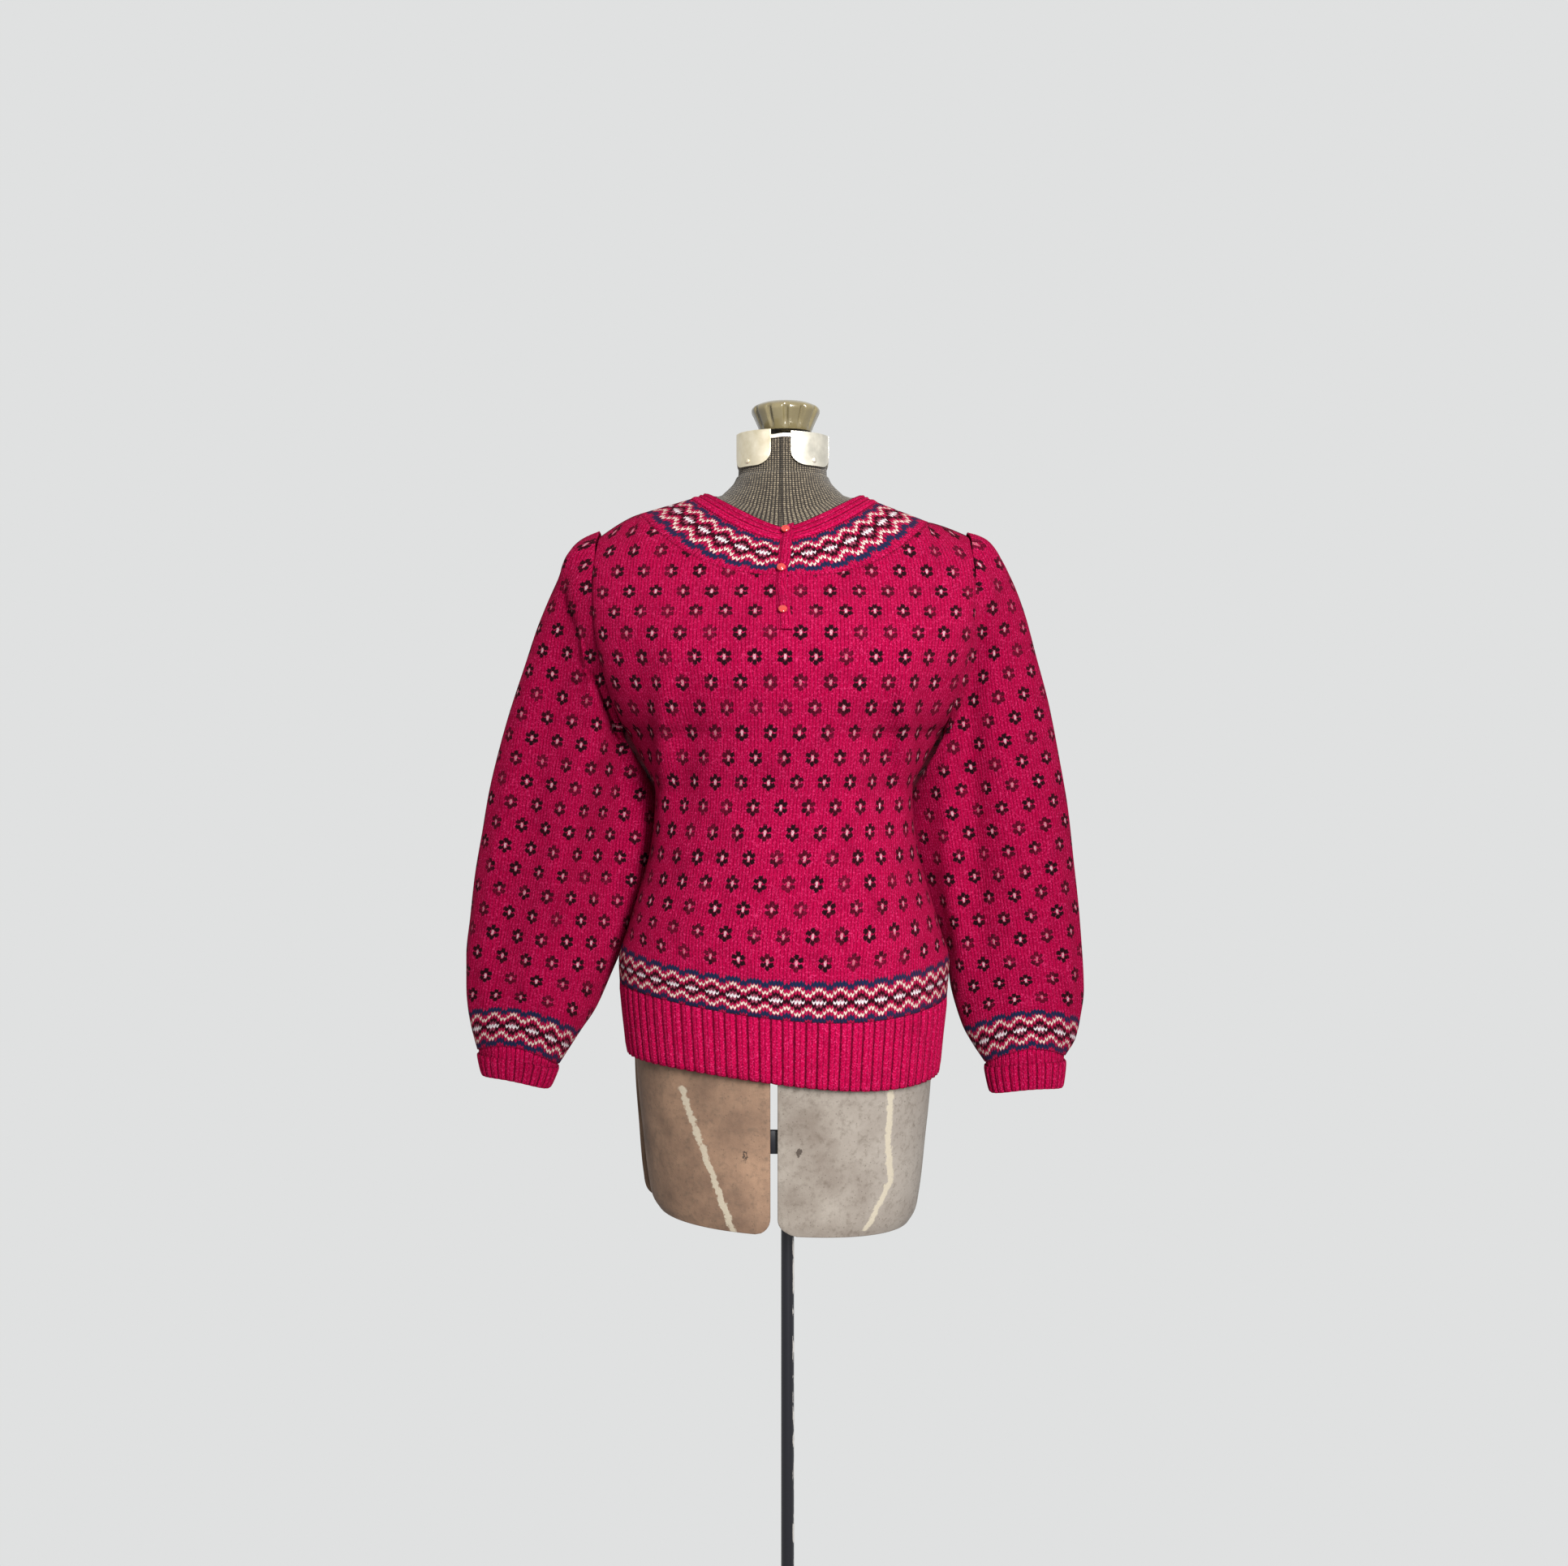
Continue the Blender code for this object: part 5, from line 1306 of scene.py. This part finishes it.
def hip_shell(name, start, stop, spread, strips):
    """One shell. strips are rows of x and z down a torn strip, on the front shells."""
    columns, rows = 60, 100
    levels = HIPS["z"][0] + (HIPS["z"][-1] - HIPS["z"][0]) * np.linspace(0, 1, rows + 1) ** 1.15

    def place(column, row):
        z = levels[row]
        low = max(0.0, 1 - (z - levels[0]) / SHELL_CORNER)
        trim = math.radians(6) * (1 - math.sqrt(max(0.0, 1 - low**2)))
        first, last = start(z) + trim, stop(z) - trim
        angle = first + (last - first) * column / columns
        side = "back" if math.sin(angle) > 0 else "front"
        out = max(0.0, (SPREAD_TOP_Z - z) / (SPREAD_TOP_Z - levels[0]))
        share = signed_power(math.cos(angle), 2 / HIP_SQUARENESS)
        depth = hip[side](z) * signed_power(math.sin(angle), 2 / HIP_SQUARENESS)
        return hip["half_width"](z) * share + spread * out, depth, z - HIP_TILT * share * out

    piece = bent_grid(name + "_paper", columns, rows, place, lambda c, r: (c, r), SHELL)
    edge = piece.modifiers.new("worn edge", "BEVEL")
    edge.width = 0.9 * MM
    edge.segments = 2
    edge.limit_method = "ANGLE"
    torn = piece.data.attributes.new("torn_strip", "FLOAT", "POINT")
    # Where the worn holes are, for their painted shade.
    holes = piece.data.attributes.new("worn_hole_painted_shade", "FLOAT", "POINT")
    for vert in piece.data.vertices:
        x, z = vert.co.x / MM, vert.co.z / MM
        torn.data[vert.index].value = max((strip_strength(x, z, strip) for strip in strips), default=0.0)
        if vert.co.y < 0:
            near = min(math.hypot((x - hole_x) * 1.6, z - hole_z) for hole_x, hole_z in HOLES)
            holes.data[vert.index].value = max(0.0, 1 - near / 9)
    dress(piece, paper, [name])
    return piece


def strip_strength(x, z, strip):
    zs = [row[1] for row in strip][::-1]
    xs = [row[0] for row in strip][::-1]
    if not zs[0] <= z <= zs[-1]:
        return 0.0
    return max(0.0, 1 - abs(x - float(np.interp(z, zs, xs))) / 7.5)


HOLES = ((-36, 716), (14, 719))
LEFT_STRIP = ((-97, 779), (-89, 755), (-69, 702), (-58, 672), (-46, 640))
RIGHT_STRIP = ((100, 778), (98, 724), (100, 686), (82, 651), (73, 640))
half = math.pi
side_slit = math.radians(8)
back_slit = math.radians(3)
shells = [
    hip_shell("hip_front_left", lambda z: -half + side_slit, slit_angle(SLIT_LEFT_X), 0, [LEFT_STRIP]),
    hip_shell("hip_front_right", slit_angle(SLIT_RIGHT_X), lambda z: -side_slit, 0, [RIGHT_STRIP]),
    hip_shell("hip_back_right", lambda z: side_slit / 2, lambda z: half / 2 - back_slit, 2, []),
    hip_shell("hip_back_left", lambda z: half / 2 + back_slit, lambda z: half - side_slit / 2, -8, []),
]
print("hip shells:", len(shells))

# %% [markdown]
# The collar plates are thin nickel-plated sheet, bent round the neck and held by a rivet each. The
# plating is worn and slightly yellow, so the reflections are soft. A narrow bright edge stands at their
# upper rim.

# %% Collar plates and rivets
def nickel(name, tint):
    made, tree, shader = new_material(name)
    place = add(tree, "ShaderNodeTexCoord").outputs["Object"]
    wear = add(tree, "ShaderNodeTexNoise", {"Vector": place, "Scale": 70.0, "Detail": 5.0, "Roughness": 0.6})
    scratch = add(tree, "ShaderNodeTexNoise", {"Vector": place, "Scale": 420.0, "Detail": 3.0})
    colour = mixed(tree, wear, tint, "#F2EBDA")
    tree.links.new(colour, shader.inputs["Base Color"])
    rough = math_chain(tree, wear, ("MULTIPLY", 0.35), ("ADD", 0.2))
    tree.links.new(rough.outputs[0], shader.inputs["Roughness"])
    bump = add(tree, "ShaderNodeBump", {"Height": scratch, "Strength": 0.15, "Distance": 0.3 * MM})
    tree.links.new(bump.outputs[0], shader.inputs["Normal"])
    shader.inputs["Metallic"].default_value = 0.85
    return made


warm_nickel = nickel("warm_nickel_plate", "#B5A67C")
cool_nickel = nickel("cool_nickel_plate", "#A4A196")
PLATE_RADIUS, PLATE_THICK, PLATE_ROUND, PLATE_TIP = 44.4, 1.2, 0.4, 0.35


def at_neck(radius, angle, z):
    return NECK_X + radius * math.cos(angle), radius * math.sin(angle), z


def collar_plate(corner, start, stop, tip, top_z, low_z, rivet_z, look):
    """A plate between two angles. Its lower end is round about the tip's angle, where the rivet sits."""
    columns, rows = 40, 30

    def place(column, row):
        share = (row / rows) ** 1.4
        up = min(1, share / PLATE_ROUND)
        width = PLATE_TIP + (1 - PLATE_TIP) * math.sqrt(1 - (1 - up) ** 2)
        low, high = tip + (start - tip) * width, tip + (stop - tip) * width
        angle = math.radians(low + (high - low) * column / columns)
        return at_neck(PLATE_RADIUS + PLATE_THICK, angle, low_z + (top_z - low_z) * share)

    piece = bent_grid("collar_" + corner, columns, rows, place, lambda c, r: (c, r), PLATE_THICK)
    edge = piece.modifiers.new("edge", "BEVEL")
    edge.width = 0.3 * MM
    edge.segments = 2
    edge.limit_method = "ANGLE"
    dress(piece, look, ["collar_plate_" + corner])
    angle = math.radians(tip)
    outward = Vector((math.cos(angle), math.sin(angle), 0))
    turn = Vector((0, 0, 1)).rotation_difference(outward).to_matrix().to_4x4()
    head = [(0, 0), (2.5, 0), (2.5, 0.3), (2.1, 0.8), (1.3, 1.15), (0, 1.25)]
    rivet = spun("rivet_" + corner, head, turn, at_neck(PLATE_RADIUS + PLATE_THICK + 0.2, angle, rivet_z), 20)
    dress(rivet, look, ["collar_rivet_" + corner])


plates = (
    ("front_left", -174, -104.5, -138, 1400, 1366, 1371, warm_nickel),
    ("front_right", -79.5, -10, -47.5, 1398, 1366, 1371.5, cool_nickel),
    ("back_right", 5, 82, 41, 1400, 1366, 1373, cool_nickel),
    ("back_left", 98, 175, 139, 1400, 1366, 1373, warm_nickel),
)
for plate in plates:
    collar_plate(*plate)


def neck_rim():
    """The edge of the jersey's metal rim, a little wavy, which shows between the plates."""
    columns, rows = 180, 5

    def place(column, row):
        angle = 2 * math.pi * column / columns
        z = 1392.4 + 0.75 * row + 0.8 * math.sin(5 * angle + 1) + 0.5 * math.sin(11 * angle)
        return at_neck(43.6, angle, z)

    rim = bent_grid("neck_rim", columns, rows, place, lambda c, r: (c, r), 0.6, True)
    rim.data.materials.append(cool_nickel)
    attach(rim, STAND)


neck_rim()
print(len(plates), "collar plates and a rim")

# %% [markdown]
# The knob is moulded from an olive thermoset plastic with a high gloss. It is the one piece that
# turns, so it rides on its own body. A spun profile gives its form, and the flutes are pressed into
# the spun rim afterwards.

# %% Knob
def olive_plastic():
    made, tree, shader = new_material("olive_thermoset")
    place = add(tree, "ShaderNodeTexCoord").outputs["Object"]
    cloud = add(tree, "ShaderNodeTexNoise", {"Vector": place, "Scale": 60.0, "Detail": 4.0})
    tree.links.new(mixed(tree, cloud, "#4B4129", "#6C6347"), shader.inputs["Base Color"])
    shader.inputs["Roughness"].default_value = 0.22
    shader.inputs["Coat Weight"].default_value = 0.6
    shader.inputs["Coat Roughness"].default_value = 0.08
    return made


KNOB_X, KNOB_Z, FLUTES = 1.6, 1394.3, 12
KNOB_PROFILE = [
    (0, 0), (7.6, 0), (8, 0.6), (8, 8.0), (9, 8.3), (24, 8.7), (25.3, 9.3), (26, 11), (27.3, 14.5),
    (28.8, 18), (30.4, 21.5), (32, 25), (33.2, 27.4), (33.75, 29), (33.7, 30.6), (32.8, 32.4),
    (31, 34), (28, 35.6), (23.5, 37.2), (17, 38.4), (9, 39.2), (0, 39.5),
]
knob = spun("fluted_knob", KNOB_PROFILE, Matrix(), (0, 0, 0), 240, 30)
for vert in knob.data.vertices:
    height = vert.co.z / MM
    window = min(max((height - 12) / 6, 0), 1) * min(max((32.5 - height) / 3, 0), 1)
    angle = math.atan2(vert.co.y, vert.co.x)
    groove = max(0.0, math.cos(FLUTES * angle) - 0.5) * 2
    scale = 1 - 0.1 * window * math.sqrt(groove)
    vert.co.x = vert.co.x * scale + KNOB_X * MM
    vert.co.y *= scale
    vert.co.z += KNOB_Z * MM
dress(knob, olive_plastic(), ["knob"], "knob")
print("knob:", len(knob.data.vertices), "points")

# %% [markdown]
# The stand is black enamelled steel. The pole's enamel is chipped along one side, where bright metal
# shows. The base and the bar behind the front slit share the finish.

# %% Stand
def black_enamel():
    made, tree, shader = new_material("chipped_black_enamel")
    place = add(tree, "ShaderNodeTexCoord").outputs["Object"]
    stretch = add(tree, "ShaderNodeMapping", {"Vector": place, "Scale": (1, 1, 0.22)})
    chips = add(tree, "ShaderNodeTexNoise", {"Vector": stretch, "Scale": 260.0, "Detail": 4.0})
    split = add(tree, "ShaderNodeSeparateXYZ", {0: place})
    side = math_chain(tree, split.outputs[0], ("SUBTRACT", 0.0085), ("MULTIPLY", 350.0), ("MINIMUM", 0.06))
    chipped = math_chain(tree, side, ("MAXIMUM", -0.2), ("ADD", chips.outputs[0]), ("GREATER_THAN", 0.62))
    low = math_chain(tree, split.outputs[2], ("GREATER_THAN", 0.05))
    chipped = math_chain(tree, chipped, ("MULTIPLY", low.outputs[0]))
    tree.links.new(mixed(tree, chipped, "#0B0B11", "#8F8A85"), shader.inputs["Base Color"])
    shader.inputs["Roughness"].default_value = 0.32
    shader.inputs["Specular IOR Level"].default_value = 0.35
    return made


enamel = black_enamel()
POLE_X, POLE_RADIUS, BASE_RADIUS, BASE_TOP = 3.5, 6.4, 180, 26
pole_profile = [(0, BASE_TOP + SEAM), (6.1, BASE_TOP + SEAM), (POLE_RADIUS, BASE_TOP + 1)]
pole_profile += [(POLE_RADIUS, z) for z in range(60, 980, 60)]
pole_profile += [(POLE_RADIUS, 984), (6.1, 984.7), (0, 984.7)]
pole = spun("pole_tube", pole_profile, Matrix(), (POLE_X, 0, 0), 32)
dress(pole, enamel, ["pole"])
base_profile = [
    (0, 0), (176, 0), (178.6, 0.8), (180, 2.6), (180, 8.6), (179.2, 10.8), (177, 12), (120, 13.2),
    (60, 15.2), (48, 16.1), (36, 17.6), (28, 20), (23.4, 22.2), (21.6, 24.4), (19.4, 25.8), (0, 26),
]
base = spun("round_base", base_profile, Matrix(), (POLE_X, 0, 0), 96)
dress(base, enamel, ["base"])


def bridge_bar():
    """The bar inside the front shells, and the arm that joins it to the pole."""
    shape = bmesh.new()
    arm_end = -POLE_RADIUS - SEAM
    for x0, x1, y0, y1, tall in ((-40, 30, -94, -89, 22), (POLE_X - 5, POLE_X + 5, -89, arm_end, 16)):
        made = bmesh.ops.create_cube(shape, size=1)["verts"]
        bmesh.ops.scale(shape, vec=((x1 - x0) * MM, (y1 - y0) * MM, tall * MM), verts=made)
        middle = Vector(((x0 + x1) / 2, (y0 + y1) / 2, 727)) * MM
        bmesh.ops.translate(shape, vec=middle, verts=made)
    bmesh.ops.bevel(
        shape,
        geom=shape.edges[:],
        offset=0.8 * MM,
        affect="EDGES",
        segments=2,
        profile=0.5,
        material=-1,
    )
    piece = link_shape("bridge_bar", shape)
    dress(piece, enamel, ["hip_bridge"])


bridge_bar()

# %% [markdown]
# Each knitted piece is listed with the flat size it was knitted to, and its area is printed next to the
# area of the flat cut. Ribbing is measured relaxed.

# %% Flat sizes of the knitted pieces
def area_of(piece):
    """Area of a bent grid before it gets its thickness, in square metres."""
    return sum(f.area for f in piece.data.polygons)


FLATS = (
    # piece, flat width and length in metres
    (front, (0.40, 0.50)),
    (back, (0.38, 0.50)),
    (hem_front, (0.40, 0.064)),
    (hem_back, (0.39, 0.064)),
    (sleeves["left"], (0.40, 0.55)),
    (sleeves["right"], (0.40, 0.55)),
    (neckband, (0.50, 0.018)),
    (placket, (0.012, 0.13)),
    (cuffs["left"], (0.20, 0.062)),
    (cuffs["right"], (0.20, 0.062)),
    (yoke_pieces[0], (0.19, 0.055)),
    (yoke_pieces[1], (0.19, 0.055)),
    (yoke_pieces[2], (0.36, 0.055)),
)
for piece, flat in FLATS:
    print(piece.name, "area", round(area_of(piece), 4), "flat", round(flat[0] * flat[1], 4))

# %% [markdown]
# The camera stands 1.7 m in front of the form at the height of its chest, level, and its view is moved
# down a little, as in the photograph. The light is a soft studio light: one panel above and to the right
# of the camera, strongest on the chest, a weak one to the left, and a pale room.

# %% Camera
CAMERA_Y, CAMERA_Z = -1.7, 1.126
SENSOR_MM, VIEW_WIDTH = 36.0, 1.5456
camera_data = bpy.data.cameras.new("camera")
camera = bpy.data.objects.new("camera", camera_data)
bpy.context.scene.collection.objects.link(camera)
camera.location = (0, CAMERA_Y, CAMERA_Z)
camera.rotation_euler = (math.pi / 2, 0, 0)
camera_data.sensor_width = SENSOR_MM
camera_data.lens = SENSOR_MM * -CAMERA_Y / VIEW_WIDTH
camera_data.shift_y = -0.044
camera_data.dof.use_dof = False
bpy.context.scene.camera = camera

# %% Floor, room and lights
def studio():
    shape = bmesh.new()
    bmesh.ops.create_circle(shape, cap_ends=True, segments=96, radius=0.55)
    bmesh.ops.translate(shape, vec=(0, 0, -0.0005), verts=shape.verts)
    floor = link_shape("studio_floor", shape)
    made, tree, shader = new_material("pale_floor")
    place = add(tree, "ShaderNodeTexCoord").outputs["Object"]
    paint = add(tree, "ShaderNodeTexNoise", {"Vector": place, "Scale": 3.0, "Detail": 3.0})
    tree.links.new(mixed(tree, paint, "#DADAD8", "#E2E2E0"), shader.inputs["Base Color"])
    shader.inputs["Roughness"].default_value = 0.8
    floor.data.materials.append(made)
    world = bpy.data.worlds.new("pale_room")
    bpy.context.scene.world = world
    world.use_nodes = True
    world.node_tree.nodes["Background"].inputs["Color"].default_value = linear("#E0E1E1")
    world.node_tree.nodes["Background"].inputs["Strength"].default_value = 1.0


def softbox(name, place, target, size, power, colour, spread):
    light = bpy.data.lights.new(name, "AREA")
    light.shape = "RECTANGLE"
    light.size, light.size_y = size
    light.energy = power
    light.spread = math.radians(spread)
    light.color = linear(colour)[:3]
    lamp = bpy.data.objects.new(name, light)
    bpy.context.scene.collection.objects.link(lamp)
    lamp.location = place
    aim = Vector(target) - Vector(place)
    lamp.rotation_euler = aim.to_track_quat("-Z", "Y").to_euler()


studio()
softbox("key_panel", (0.5, -1.75, 1.7), (0.03, 0, 1.02), (0.3, 1.7), 10.5, "#FFFFFF", 35)
softbox("fill_panel", (-1.5, -1.5, 1.4), (0, 0, 1.0), (1.2, 1.6), 2, "#FFF4EA", 180)
bpy.context.scene.view_settings.view_transform = "Standard"
